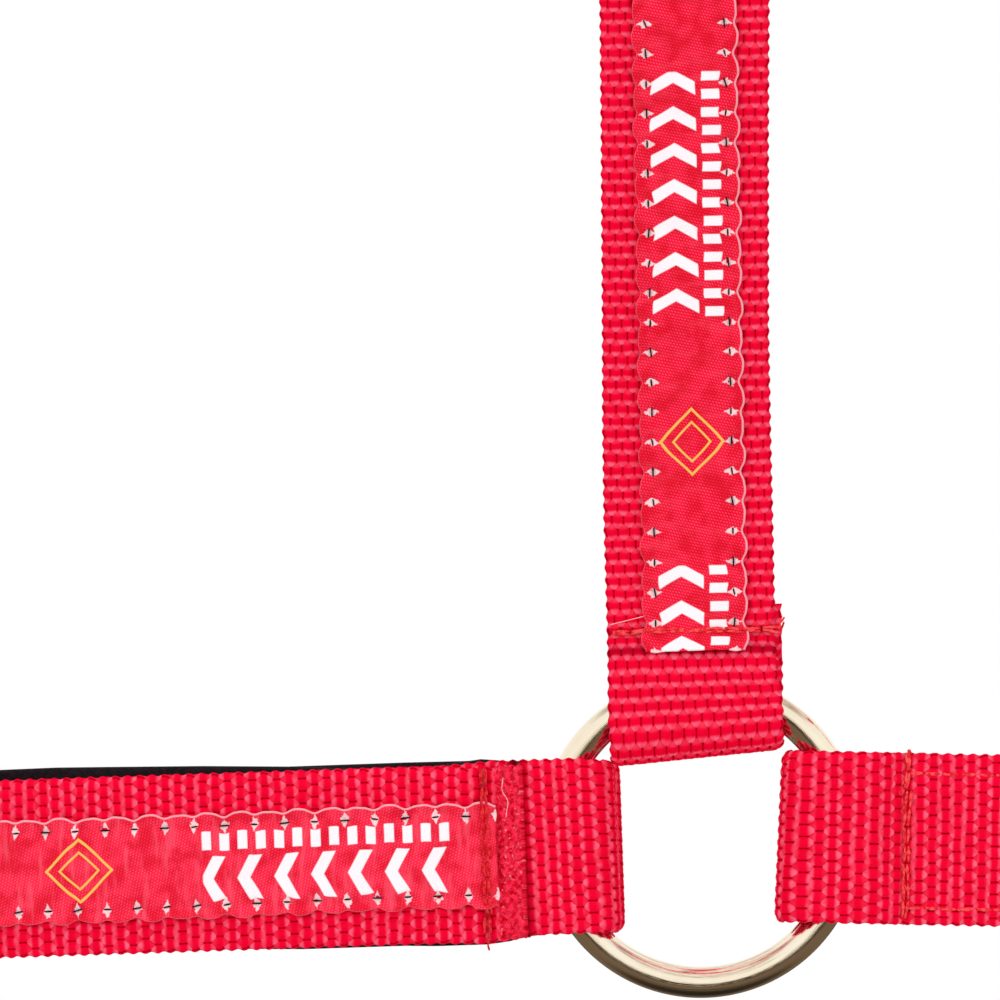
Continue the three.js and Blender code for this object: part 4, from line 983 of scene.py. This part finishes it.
# ---- pieces ----
def make_noseband():
    """Base webbing, top webbing and ribbon, sewn together near the rings, with padding inside."""
    strip = Strip(NOSE_PLACE, nose_base(), 1)
    fold_front = -17.0
    fold = strip.near([fold_front, -HALF_WIDTH])
    off_fold = strip.length - fold
    groove = strip.near([-TOP_LAYER_START + 0.4, -HALF_WIDTH - LAYER])
    # the shades lay painted shade on the base strap in the groove at each end of the top layer
    base = webbing("nose_base_strap", strip, WEB_WIDTH, RED, coarse=1.3, pitch=FINE_PITCH,
                   fine=[(fold - 14, fold + 34, 0.3), (off_fold - 25, off_fold + 25, 0.8)],
                   shades=[(groove, 1.0, 1.2), (strip.length - groove, 1.0, 1.2)],
                   spread=([fold - 6, fold, fold + 14, fold + 22], [1, 1.022, 1.022, 1]),
                   drift=([fold - 6, fold, fold + 14, fold + 22], [0, 0.28, 0.28, 0]),
                   skew=(fold, 9.0, -0.65, -0.45, NOSE_PLACE.x))
    settle(base, "noseband", "webbing", "noseband_base_webbing")
    lift = WEB_THICK + GAP
    top = Strip(NOSE_PLACE, nose_wrap(nose_layer(1), TOP_LAYER_START, lift), 1)
    seam = 6.0
    # the shades lay painted shade beside each end seam
    strap = webbing("nose_top_strap", top, WEB_WIDTH, RED, fine=[(0, 92, 0.3)], pitch=FINE_PITCH,
                    dents=[(seam, 0.45, 0.8), (top.length - seam, 0.45, 0.8)], melted=(-2.0, 4.4),
                    shades=[(seam, 0.35, 0.6), (top.length - seam, 0.35, 0.6)], drift=NOSE_DRIFT,
                    spread=([0, 4, 14, 400], [1.01, 1.02, 1.035, 1.035]))
    settle(strap, "noseband", "webbing", "noseband_top_webbing")
    ribbon_lift = 1.5 * WEB_THICK + 2 * GAP + RIBBON_THICK / 2
    satin = Strip(NOSE_PLACE, nose_wrap(nose_layer(1), NOSE_RIBBON_START, ribbon_lift), 1)
    sewn = seam + TOP_LAYER_START - NOSE_RIBBON_START
    piece = ribbon("nose_ribbon", satin, NOSE_SATIN, fine=[(0, 90, 0.35)], drift=NOSE_RIBBON_DRIFT,
                   dents=[(sewn, 0.3, 0.6), (satin.length - sewn, 0.3, 0.6)])
    settle(piece, "noseband", "ribbon", "noseband_ribbon")
    ribbon_threads("nose_ribbon_stitches", satin, "noseband", NOSE_RIBBON_DRIFT)
    paths = []
    for at in (seam, top.length - seam):
        for shift in (-0.35, 0.35):
            paths += cross_seam(top, at + shift, WEB_WIDTH, 0.4, 0.4, wander=0.2, over=0.75)
    paths.append(wisp(top, seam, 0.5 - WEB_WIDTH / 2, 1.2, -1.6, 2.6, 0.2))
    sew("nose_end_seams", paths, THREAD, WINE_THREAD, "noseband")
    hair = [wisp(top, 2.4, 11.0, 1.2, -1.5, 6.6, 0.5)]
    sew("nose_loose_thread", hair, 0.05, PALE_THREAD, "noseband")
    nose_padding()


def sew(name, paths, radius=THREAD, thread=RED_THREAD, body="straps"):
    """A piece of sewing thread on webbing."""
    settle(tubes(name, paths, radius, thread), body, "webbing")


def ribbon_threads(name, strip, body, drift=((0, 1), (0, 0))):
    """Dark stitches along both edges of a ribbon."""
    paths = []
    row = STITCH_ROW * (1 - 2 * DRAWN_IN / RIBBON_WIDTH)
    for k in range(1, int(strip.length / STITCH)):
        aside = np.interp(k * STITCH, *drift)
        for t in (aside - row, aside + row):
            w = np.linspace(-0.72, 0.72, 7)
            lean = rng.normal(0, 0.12)
            height = 0.3 - 0.42 - 0.12 + 0.24 * (1 - (w / 0.72) ** 2)
            paths.append(strip.at(k * STITCH + w, t + lean * w, height))
    settle(tubes(name, paths, 0.13, DARK_THREAD, sides=5), body, "ribbon")


def padded_band(name, strip, top, bottom, body, node):
    """Foam in a knitted cover. top and bottom give the half-widths at places along it."""
    s = strip.samples((), 1.0)
    b = np.linspace(0, 2 * math.pi, 49)[:-1]
    cs = np.sign(np.cos(b)) * np.abs(np.cos(b)) ** 0.55
    sn = np.sign(np.sin(b)) * np.abs(np.sin(b)) ** 0.5
    grid_s = np.repeat(s[:, None], len(b), axis=1)
    ends = np.clip(np.minimum(grid_s, strip.length - grid_s) / 2.2, 0, 1)
    ends = 0.35 + 0.65 * np.sqrt(1 - (1 - ends) ** 2)
    up = np.interp(grid_s, *top)
    down = np.interp(grid_s, *bottom)
    t = np.where(cs > 0, cs * up, cs * down)
    piping = bumps(np.abs(t), [(PAD_WIDTH / 2 - 2.4, 0.16, 0.7)])[0]
    swell = 1 + 0.03 * np.sin(grid_s * 0.23) - piping
    height = -sn * (PAD_THICK / 2 - 0.1) * swell * ends + 0.15 * np.sin(grid_s / 3.1 + t)
    points = strip.at(grid_s, t, height)
    piece = make_object(name, points, loft(len(s), len(b)), BLACK, np.stack([grid_s, t], axis=-1))
    settle(piece, body, "padding", node)


def nose_padding():
    inner = WEB_THICK / 2 + GAP + PAD_THICK / 2
    strip = Strip(NOSE_PLACE, nose_wrap(nose_layer(-1), NOSE_PAD_START, -inner), 1)
    half = WEB_WIDTH / 2
    end = strip.length
    places = [0, 2.2, 5, 8, 12.5, 15.4, 20, 35, 49, 64, 71, 100, end - 80, end - 20, end - 8, end]
    above = [-0.2, 0.3, 0.6, 0.9, 0.4, 0.1, -0.4, 0.7, 1.25, 1.6, 1.75, 1.5, 0.9, 1.0, 0.9, 0.2]
    below = [0.1, 0.3, 0.9, 1.2, 1.2, 1.2, 1.0, 1.0, 0.5, 0.4, 0.4, 0.6, 0.8, 0.8, 0.8, 0.2]
    top = (places, [half + a for a in above])
    bottom = (places, [half + b for b in below])
    padded_band("nose_padding", strip, top, bottom, "noseband", "noseband_padding")


def make_cheeks():
    for side, turn in (("near", np.asarray), ("off", flipped)):
        strip = Strip(CHEEK_PLACE, turn(cheek_line()), 1)
        near = side == "near"
        low = fold_centre(WEB_WIDTH / 2 - CHEEK_SHIFT) - WIRE_FOLD
        fold = strip.near(turn([[-HALF_WIDTH, low]])[0])
        span = (fold - 14, fold + 128) if near else (strip.length - 1, strip.length)    # of fine mesh
        seam = strip.near(turn([[-HALF_WIDTH - LAYER, RING_SEAM]])[0])
        rise = 1 if near else -1
        # the strap wanders and narrows a little on its way up from the fold
        places = np.array([0.7, 7.7, 12.7, 19.7, 34.7, 48.7, 63.7, 92.7, 135.7, 162.7])
        sag = np.array([0, -0.15, -0.5, -0.6, -0.72, -0.75, -0.65, -0.25, 0.4, 0])
        slim = np.array([1.01, 1.02, 0.985, 0.98, 0.985, 0.98, 0.97, 0.975, 1.0, 1])
        up, sag, slim = (v[::rise] for v in (fold + rise * places, sag, slim))
        # the shades lay painted shade beside the seam above the ring
        piece = webbing(f"cheek_strap_{side}", strip, WEB_WIDTH, CHEEK_RED, fine=[(*span, 0.3)], coarse=0.9,
                        pitch=FINE_PITCH if near else COARSE_PITCH, dents=[(seam, 0.3, 0.9)],
                        shades=[(seam - 3.2 * rise, 0.5, 0.8), (seam, 0.3, 0.5)],
                        drift=(up, sag), spread=(up, slim), skew=(fold, 9.0, -0.92, 1.02, CHEEK_PLACE.y))
        settle(piece, "straps", "webbing", f"cheek_strap_{side}")
        lift = WEB_THICK / 2 + GAP + RIBBON_THICK / 2
        satin = Strip(CHEEK_PLACE, turn(parallel(cheek_ribbon_line(), lift)), 1)
        piece = ribbon(f"cheek_ribbon_{side}", satin, CHEEK_SATIN, fine=[(0, 110, 0.35)] if near else ())
        settle(piece, "straps", "ribbon", f"cheek_ribbon_{side}")
        ribbon_threads(f"cheek_ribbon_stitches_{side}", satin, "straps")
        paths = []
        for shift in (-0.3, 0.3):
            paths += cross_seam(strip, seam + shift, WEB_WIDTH, 0.3, 0.1, wander=0.22, over=0.75)
        top_seam = strip.near(turn([[-BROW_HALF_WIDTH - LAYER, CHEEK_LENGTH - 17]])[0])
        paths += cross_seam(strip, top_seam, WEB_WIDTH, 0.5, 0.5, 1.2)
        paths.append(wisp(strip, seam, WEB_WIDTH / 2 - 0.3, 1.5, 0.4 if near else 2.7, 2.2, 0.3))
        sew(f"cheek_seams_{side}", paths)
        if near:
            hair = [strip.at(np.linspace(fold + 20, fold + 22.6, 16), np.linspace(-12.7, -1.6, 16), 1.35)]
            sew("cheek_loose_thread", hair, 0.06, PALE_THREAD)


def make_chin():
    line, rear = chin_line()
    half = CHIN_WIDTH / 2
    for side, turn in (("near", np.asarray), ("off", mirrored)):
        strip = Strip(CHIN_PLACE, turn(line), -1)
        near = side == "near"
        fold = strip.near(turn([[fold_centre(half) - WIRE_FOLD, -HALF_WIDTH]])[0])
        span = (fold - 12, fold + 46) if near else (0, 1)    # of fine mesh
        seam = strip.near(turn([[RING_SEAM, -HALF_WIDTH - LAYER]])[0])
        piece = webbing(f"chin_strap_{side}", strip, CHIN_WIDTH, RED, fine=[(*span, 0.3)], coarse=0.9,
                        pitch=FINE_PITCH if near else COARSE_PITCH, dents=[(seam, 0.35, 0.7)],
                        skew=(fold, 9.0, -1.05, 0.3, CHIN_PLACE.x))
        settle(piece, "straps", "webbing", f"chin_strap_{side}")
        ahead = 1 if near else -1
        paths = []
        for shift in (-0.35, 0.35):
            paths += cross_seam(strip, seam + shift, CHIN_WIDTH, 0.8, 0.0, wander=0.24)
        for t in (-half + 2.4, half - 3.0):
            paths += sewn_line(strip, (seam, t), (seam + 26 * ahead, t), 0.95, wander=0.05)
        rear_seam = strip.near(turn([[rear + LAYER, -RING_SEAM]])[0])
        paths += cross_seam(strip, rear_seam, CHIN_WIDTH)
        sew(f"chin_seams_{side}", paths)
        if near:
            knots = [wisp(strip, seam - 1.0, half - 4 - 3.1 * k, 1.3, -1.4 + 0.3 * k, 3.0, 0.9)
                     for k in range(6)]
            sew("chin_loose_thread", knots, 0.1)
            nub = [wisp(strip, seam, half - 0.4, 1.2, 1.3, 0.9, 0.5)]
            sew("chin_thread_end", nub, 0.3)
    x, y, z = tilted(CHIN_PITCH)
    centre = RING_CENTRE + CHIN_RISE * z + rear * x
    ring = torus("chin_lead_ring", centre, y, z, RING_RADIUS, WIRE_RADIUS, GOLD_WIRE)
    settle(ring, "chin_ring", "hardware", "chin_ring")


def make_rings():
    for side, sign in (("near", -1), ("off", 1)):
        centre = RING_CENTRE + [0, sign * HALF_WIDTH, 0]
        ring = torus(f"cheek_ring_{side}", centre, [1, 0, 0], [0, 0, 1], RING_RADIUS, WIRE_RADIUS,
                     GOLD_WIRE)
        settle(ring, f"side_ring_{side}", "hardware", f"side_ring_{side}")
        x, _, z = tilted(SQUARE_TILT)
        middle = SQUARE_CENTRE + [0, sign * BROW_HALF_WIDTH, 0]
        square = square_frame(f"brow_square_{side}", middle, x, z, SQUARE_INNER, SQUARE_BAR, SQUARE_CORNER,
                              GOLD)
        settle(square, "straps", "hardware", f"cheek_square_{side}")


def near_place():
    """The near side of the crown: x up the strap from the square's top bar, y outwards."""
    _, y, z = tilted(CROWN_TILT)
    lean = rad(CROWN_LEAN)
    origin = -BROW_HALF_WIDTH * y - CROWN_DROP * z
    return Place(origin, math.sin(lean) * y + math.cos(lean) * z, -math.cos(lean) * y + math.sin(lean) * z)


def crown_eyelets():
    """(distance up, distance outwards, slope) of each eyelet."""
    crossing, pitch = HEEL + 9.0, 25.0
    return [(crossing - 2 * pitch + 0.8, TAIL_LIFT, 0.0), (crossing - pitch + 0.8, TAIL_LIFT, 0.0),
            (crossing, 1.53, RAMP_SLOPE), (crossing + pitch, -BEHIND_ROLLER, 0.0)]


def make_eyelet(name, place, up, out, slope):
    """A rolled brass eyelet: a barrel with a rounded flange on each face of the strap."""
    inner, barrel, flange, face, roll = 3.0, 3.4, 4.4, 1.0, 0.55
    turn = np.linspace(0, math.pi, 9)
    radii = (inner + flange) / 2 - np.cos(turn) * (flange - inner) / 2
    half = list(zip(radii, face + roll * np.sin(turn))) + [(flange, face - 0.05), (barrel, face - 0.05)]
    profile = np.array(half + [(r, -h) for r, h in half[::-1]])
    angles = np.arange(40) * 2 * math.pi / 40
    cs, sn = math.cos(rad(slope)), math.sin(rad(slope))
    along = place.x * cs - place.y * sn
    axis = place.x * sn + place.y * cs
    out_dir = np.cos(angles)[:, None] * along + np.sin(angles)[:, None] * place.across
    centre = place.origin + up * place.x + out * place.y
    points = centre + out_dir[:, None] * profile[None, :, :1] + profile[None, :, 1:] * axis
    return make_object(name, points, closed_quads(len(angles), len(profile)), GOLD)


def make_crown():
    place = near_place()
    strip = Strip(CROWN_PLACE, crown_line(), -1)
    holes, hole_radius = [], 3.5
    for k, (up, out, slope) in enumerate(crown_eyelets()):
        holes.append((strip.near(from_bar([[up, out]], -1)[0]), hole_radius))
        eyelet = make_eyelet(f"tail_eyelet_{k + 1}", place, up, out, slope)
        settle(eyelet, "straps", "hardware", f"crown_eyelet_{k + 1}")
    piece = webbing("crown_strap_web", strip, WEB_WIDTH, RED, coarse=0.8, holes=holes,
                    melted=(strip.length - 4, strip.length + 2))
    settle(piece, "straps", "webbing", "crown_strap")
    inwards = WEB_THICK / 2 + GAP + PAD_THICK / 2
    pad = Strip(CROWN_PLACE, parallel(crown_arch(), inwards), -1)
    width = ([0, pad.length], [PAD_WIDTH / 2] * 2)
    padded_band("crown_pad", pad, width, width, "straps", "crown_padding")
    satin = Strip(CROWN_PLACE, parallel(crown_arch(), -(WEB_THICK + RIBBON_THICK) / 2 - GAP), -1)
    settle(ribbon("crown_satin_ribbon", satin, CROWN_SATIN), "straps", "ribbon", "crown_ribbon")
    ribbon_threads("crown_ribbon_stitches", satin, "straps")
    loop_end = strip.near(from_bar([[LOOP_END - 4, LAYER]], 1)[0])
    loop_start = strip.near(from_bar([[LOOP_END - 18, LAYER]], 1)[0])
    paths = box_stitch(strip, loop_start, loop_end)
    for pad_end, sign in ((CROWN_PAD_OFF, 1), (CROWN_PAD_NEAR, -1)):
        s = strip.near(from_bar([[pad_end + 2, LAYER]], sign)[0])
        paths += cross_seam(strip, s, WEB_WIDTH, height=1.35)
    sew("crown_seams", paths)
    make_buckle(place)


def make_buckle(place):
    """The buckle, and the short strap that holds it with a slot for the tongue."""
    strip = Strip(place, buckle_strap_line(), 1)
    slot_middle, slot_radius = strip.near([HEEL + HEEL_FOLD, 0.0]), 2.9
    piece = webbing("buckle_strap_web", strip, WEB_WIDTH, RED, coarse=0.6,
                    holes=[(slot_middle + d, slot_radius) for d in (-3, 0, 3)])
    settle(piece, "straps", "webbing", "buckle_strap")
    low, high = strip.near([28.0, LAYER]), strip.near([46.0, LAYER])
    sew("buckle_strap_seams", box_stitch(strip, low, high))
    settle(cast_from("buckle_frame", "roller_buckle_frame", GOLD), "straps", "hardware", "buckle_frame")
    tongue = cast_from("buckle_tongue", "roller_buckle_tongue", GOLD, 0.22)
    settle(tongue, "buckle_tongue", "hardware", "buckle_tongue")
    roller_tube(place)
    for name, at in (("keeper_upper", 53.0), ("keeper_lower", 27.0)):
        make_keeper(name, place, at)


def roller_tube(place):
    """The buckle's turning tube, with rounded ends and a rolled seam."""
    half, bevel = WEB_WIDTH / 2 + 1 - GAP, 0.3
    bore, outside = ROLLER_BAR_RADIUS + GAP, ROLLER_RADIUS
    rim = [(half, bore), (half, outside - bevel), (half - bevel, outside)]
    profile = [(-across, radius) for across, radius in rim] + rim[::-1]
    angles = np.linspace(0, 2 * math.pi, 49)[:-1]
    seam = 1 - bumps(angles, [(2.2, 0.05, 0.07)])[0]
    centre = place.origin + (HEEL + ROLLER) * place.x
    ring = np.cos(angles)[:, None] * place.x + np.sin(angles)[:, None] * place.y
    rows = []
    for across, radius in profile:
        rows.append(centre + ring * (radius * seam)[:, None] + across * place.across)
    piece = make_object("roller_buckle_tube", rows, loft(len(rows), len(angles), closed_ends=False), GOLD)
    shell = piece.modifiers.new("wall", "SOLIDIFY")
    shell.thickness = 0.3 * MM
    shell.offset = -1
    settle(piece, "buckle_roller", "hardware", "buckle_roller")


def make_keeper(name, place, at):
    """A narrow strap sewn into a flat loop round the buckle strap and the tail."""
    low = -LAYER - WEB_THICK / 2 - 0.4
    high = TAIL_LIFT + WEB_THICK / 2 + 1
    thick, slack, corner = 1.6, 0.4, 1.5
    x, y = (WEB_WIDTH + 1 + thick) / 2, (high - low + thick) / 2
    route = Route(0, -y, 0).go(x - corner)
    for length in (2 * y, 2 * x, 2 * y):
        route.turn(90, corner).go(length - 2 * corner)
    route.turn(90, corner).go(x - corner - 0.1)
    centre = place.origin + at * place.x + (low + high) / 2 * place.y
    strip = Strip(Place(centre, -place.across, place.y), route.line, -1)
    piece = webbing(f"{name}_loop", strip, 10.0, RED, thickness=thick - slack, coarse=0.5, pitch=0.4)
    settle(piece, name, "webbing", name)


def make_throat():
    strip = Strip(THROAT_PLACE, throat_line(), 1)
    piece = webbing("throat_strap_web", strip, WEB_WIDTH, RED, coarse=0.9)
    settle(piece, "straps", "webbing", "throat_strap")
    off = strip.near([LOOP_END - 4, BROW_HALF_WIDTH + LAYER])
    off_start = strip.near([LOOP_END - 18, BROW_HALF_WIDTH + LAYER])
    near_y = -BROW_HALF_WIDTH - SNAP_AXIS - LAYER
    bar = SNAP_REACH - EYE_BAR_AT
    near_start, near_end = strip.near([bar + 14, near_y]), strip.near([bar + 28, near_y])
    paths = box_stitch(strip, off_start, off)
    paths += box_stitch(strip, near_start, near_end)
    sew("throat_seams", paths)
    settle(cast_from("snap_eye", "snap_swivel_eye", GOLD, 0.36, 4), "straps", "hardware", "snap_eye")
    settle(cast_from("snap_hook", "snap_body", GOLD, 0.3, 5), "snap_hook", "hardware", "snap_hook")
    settle(cast_from("snap_bolt", "snap_plunger", GOLD, 0.24, 4), "snap_bolt", "hardware", "snap_bolt")
    make_spring()


def make_spring():
    """The coil in the snap's barrel, between its fixed end and the bolt."""
    fixed, free, radius, turns, stroke = 13.0, 27.6, 2.3, 5, 8.0
    x, y, z = tilted(THROAT_PITCH)
    origin = REAR_BAR + SNAP_REACH * x - (BROW_HALF_WIDTH + SNAP_AXIS) * y
    w = np.linspace(0, 1, turns * 24)
    angle = 2 * math.pi * turns * w
    along = fixed + 0.5 + (free - fixed - 1) * w
    path = origin - along[:, None] * x + radius * (np.cos(angle)[:, None] * y + np.sin(angle)[:, None] * z)
    piece = tubes("snap_coil_spring", [path], 0.4, STEEL, sides=10)
    settle(piece, "snap_hook", "spring", "snap_spring")
    anchor = (origin - fixed * x) * MM
    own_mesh(piece)


def make_connector():
    place, line = connector()
    strip = Strip(place, line, -1)
    piece = webbing("connector_strap_web", strip, CONNECTOR_WIDTH, RED, coarse=0.8)
    settle(piece, "straps", "webbing", "connector_strap")
    first = strip.near([LOOP_END - 3, -LAYER])
    paths = box_stitch(strip, first - 9, first + 1, CONNECTOR_WIDTH)
    paths += cross_seam(strip, strip.length - 4.0, CONNECTOR_WIDTH, 1.0, 1.0)
    sew("connector_seams", paths)


# ---- stage ----
def make_floor():
    """A pale floor below the hanging halter, fading out before its edge."""
    drop, radius = 0.075, 1.6
    sh = Shader("pale_floor", Roughness=0.9, Specular_IOR_Level=0.1)
    place = sh.position()
    cloud = sh.noise(place, 3.0, 2.0)
    away = sh.node("ShaderNodeVectorMath", {0: place}, output="Value", operation="LENGTH")
    sh.set(Base_Color=sh.mix(cloud, (0.93, 0.93, 0.93, 1), (0.97, 0.97, 0.97, 1)),
           Alpha=sh.ramp(away, radius * 0.98, radius * 0.5))
    bpy.ops.mesh.primitive_circle_add(vertices=96, radius=radius, fill_type="NGON",
                                      location=(0.05, 0.0, CAD_BOX[0][2] - drop))
    floor = bpy.context.object
    floor.name = "floor"
    floor.data.materials.append(sh.material)
    floor.visible_glossy = False


def make_world():
    """White all round; what the metal mirrors is brown and dark below the horizon, as a table gives."""
    world = bpy.data.worlds.new("studio")
    world.use_nodes = True
    bpy.context.scene.world = world
    net = Nodes(world.node_tree)
    white = (1, 1, 1, 1)
    ambient = net.node("ShaderNodeBackground", {0: white, 1: 0.62})
    backdrop = net.node("ShaderNodeBackground", {0: white, 1: 1.0})
    direction = net.node("ShaderNodeTexCoord", output="Generated")
    height = net.node("ShaderNodeSeparateXYZ", {0: direction}, output=2)
    ramp = net.node("ShaderNodeValToRGB", {0: net.node("ShaderNodeMapRange", {0: height, 1: -1, 2: 1})})
    steps = [(0.0, (0.02, 0.018, 0.013)), (0.05, (0.04, 0.03, 0.02)), (0.12, (0.15, 0.105, 0.066)),
             (0.3, (0.18, 0.12, 0.075)), (0.36, (0.025, 0.02, 0.014)), (0.44, (0.13, 0.09, 0.06)),
             (0.47, (0.9, 0.84, 0.72)), (0.62, (1.05, 1.02, 0.95)), (0.86, (0.98, 0.94, 0.86)),
             (0.9, (0.45, 0.36, 0.3)), (0.94, (1.0, 0.9, 0.82)), (1.0, (1, 0.93, 0.88))]
    elements = ramp.socket.node.color_ramp.elements
    for _ in steps[2:]:
        elements.new(0.5)
    for element, (place, shade) in zip(elements, steps):
        element.position = place
        element.color = (*shade, 1)
    mirrored_room = net.node("ShaderNodeBackground", {0: ramp})
    result = ambient
    for ray, other in (("Is Glossy Ray", mirrored_room), ("Is Camera Ray", backdrop)):
        chosen = net.node("ShaderNodeLightPath", output=ray)
        result = net.node("ShaderNodeMixShader", {0: chosen, 1: result, 2: other})
    net.feed(net.tree.nodes["World Output"].inputs[0], result)


def make_light(name, place, target, size, watts):
    data = bpy.data.lights.new(name, "AREA")
    data.shape = "SQUARE"
    data.size = size
    data.energy = watts
    light = bpy.data.objects.new(name, data)
    light.location = place
    light.rotation_euler = (Vector(target) - Vector(place)).to_track_quat("-Z", "Y").to_euler()
    light.visible_glossy = False
    bpy.context.scene.collection.objects.link(light)


def make_camera():
    """Level with the near side ring, which sits low and to the right of a close view of the near side."""
    lens, sensor, view, ring_to_middle = 1600.0, 36.0, 0.14706, (-0.02953, 0, 0.04943)
    ring = Vector((RING_CENTRE + [0, -HALF_WIDTH, 0]) * MM)
    target = ring + Vector(ring_to_middle)
    data = bpy.data.cameras.new("camera")
    data.lens = lens
    data.sensor_width = sensor
    data.clip_start = 0.5
    data.clip_end = 60
    camera = bpy.data.objects.new("camera", data)
    camera.location = ring + Vector((0, -lens / sensor * view, 0))
    camera.rotation_euler = (target - camera.location).to_track_quat("-Z", "Y").to_euler()
    bpy.context.scene.collection.objects.link(camera)
    bpy.context.scene.camera = camera


make_camera()
make_floor()
make_world()
make_light("left_softbox", (-1.1, -1.5, 0.2), (-0.05, -0.06, -0.4), 0.8, 8)
make_light("right_softbox", (1.1, -1.4, -0.1), (-0.05, -0.06, -0.42), 0.8, 5)
make_light("top_softbox", (-0.1, -0.5, 1.2), (-0.05, -0.06, -0.42), 0.9, 7)
bpy.context.scene.view_settings.view_transform = "Standard"

make_rings()
make_noseband()
make_cheeks()
make_chin()
make_crown()
make_throat()
make_connector()
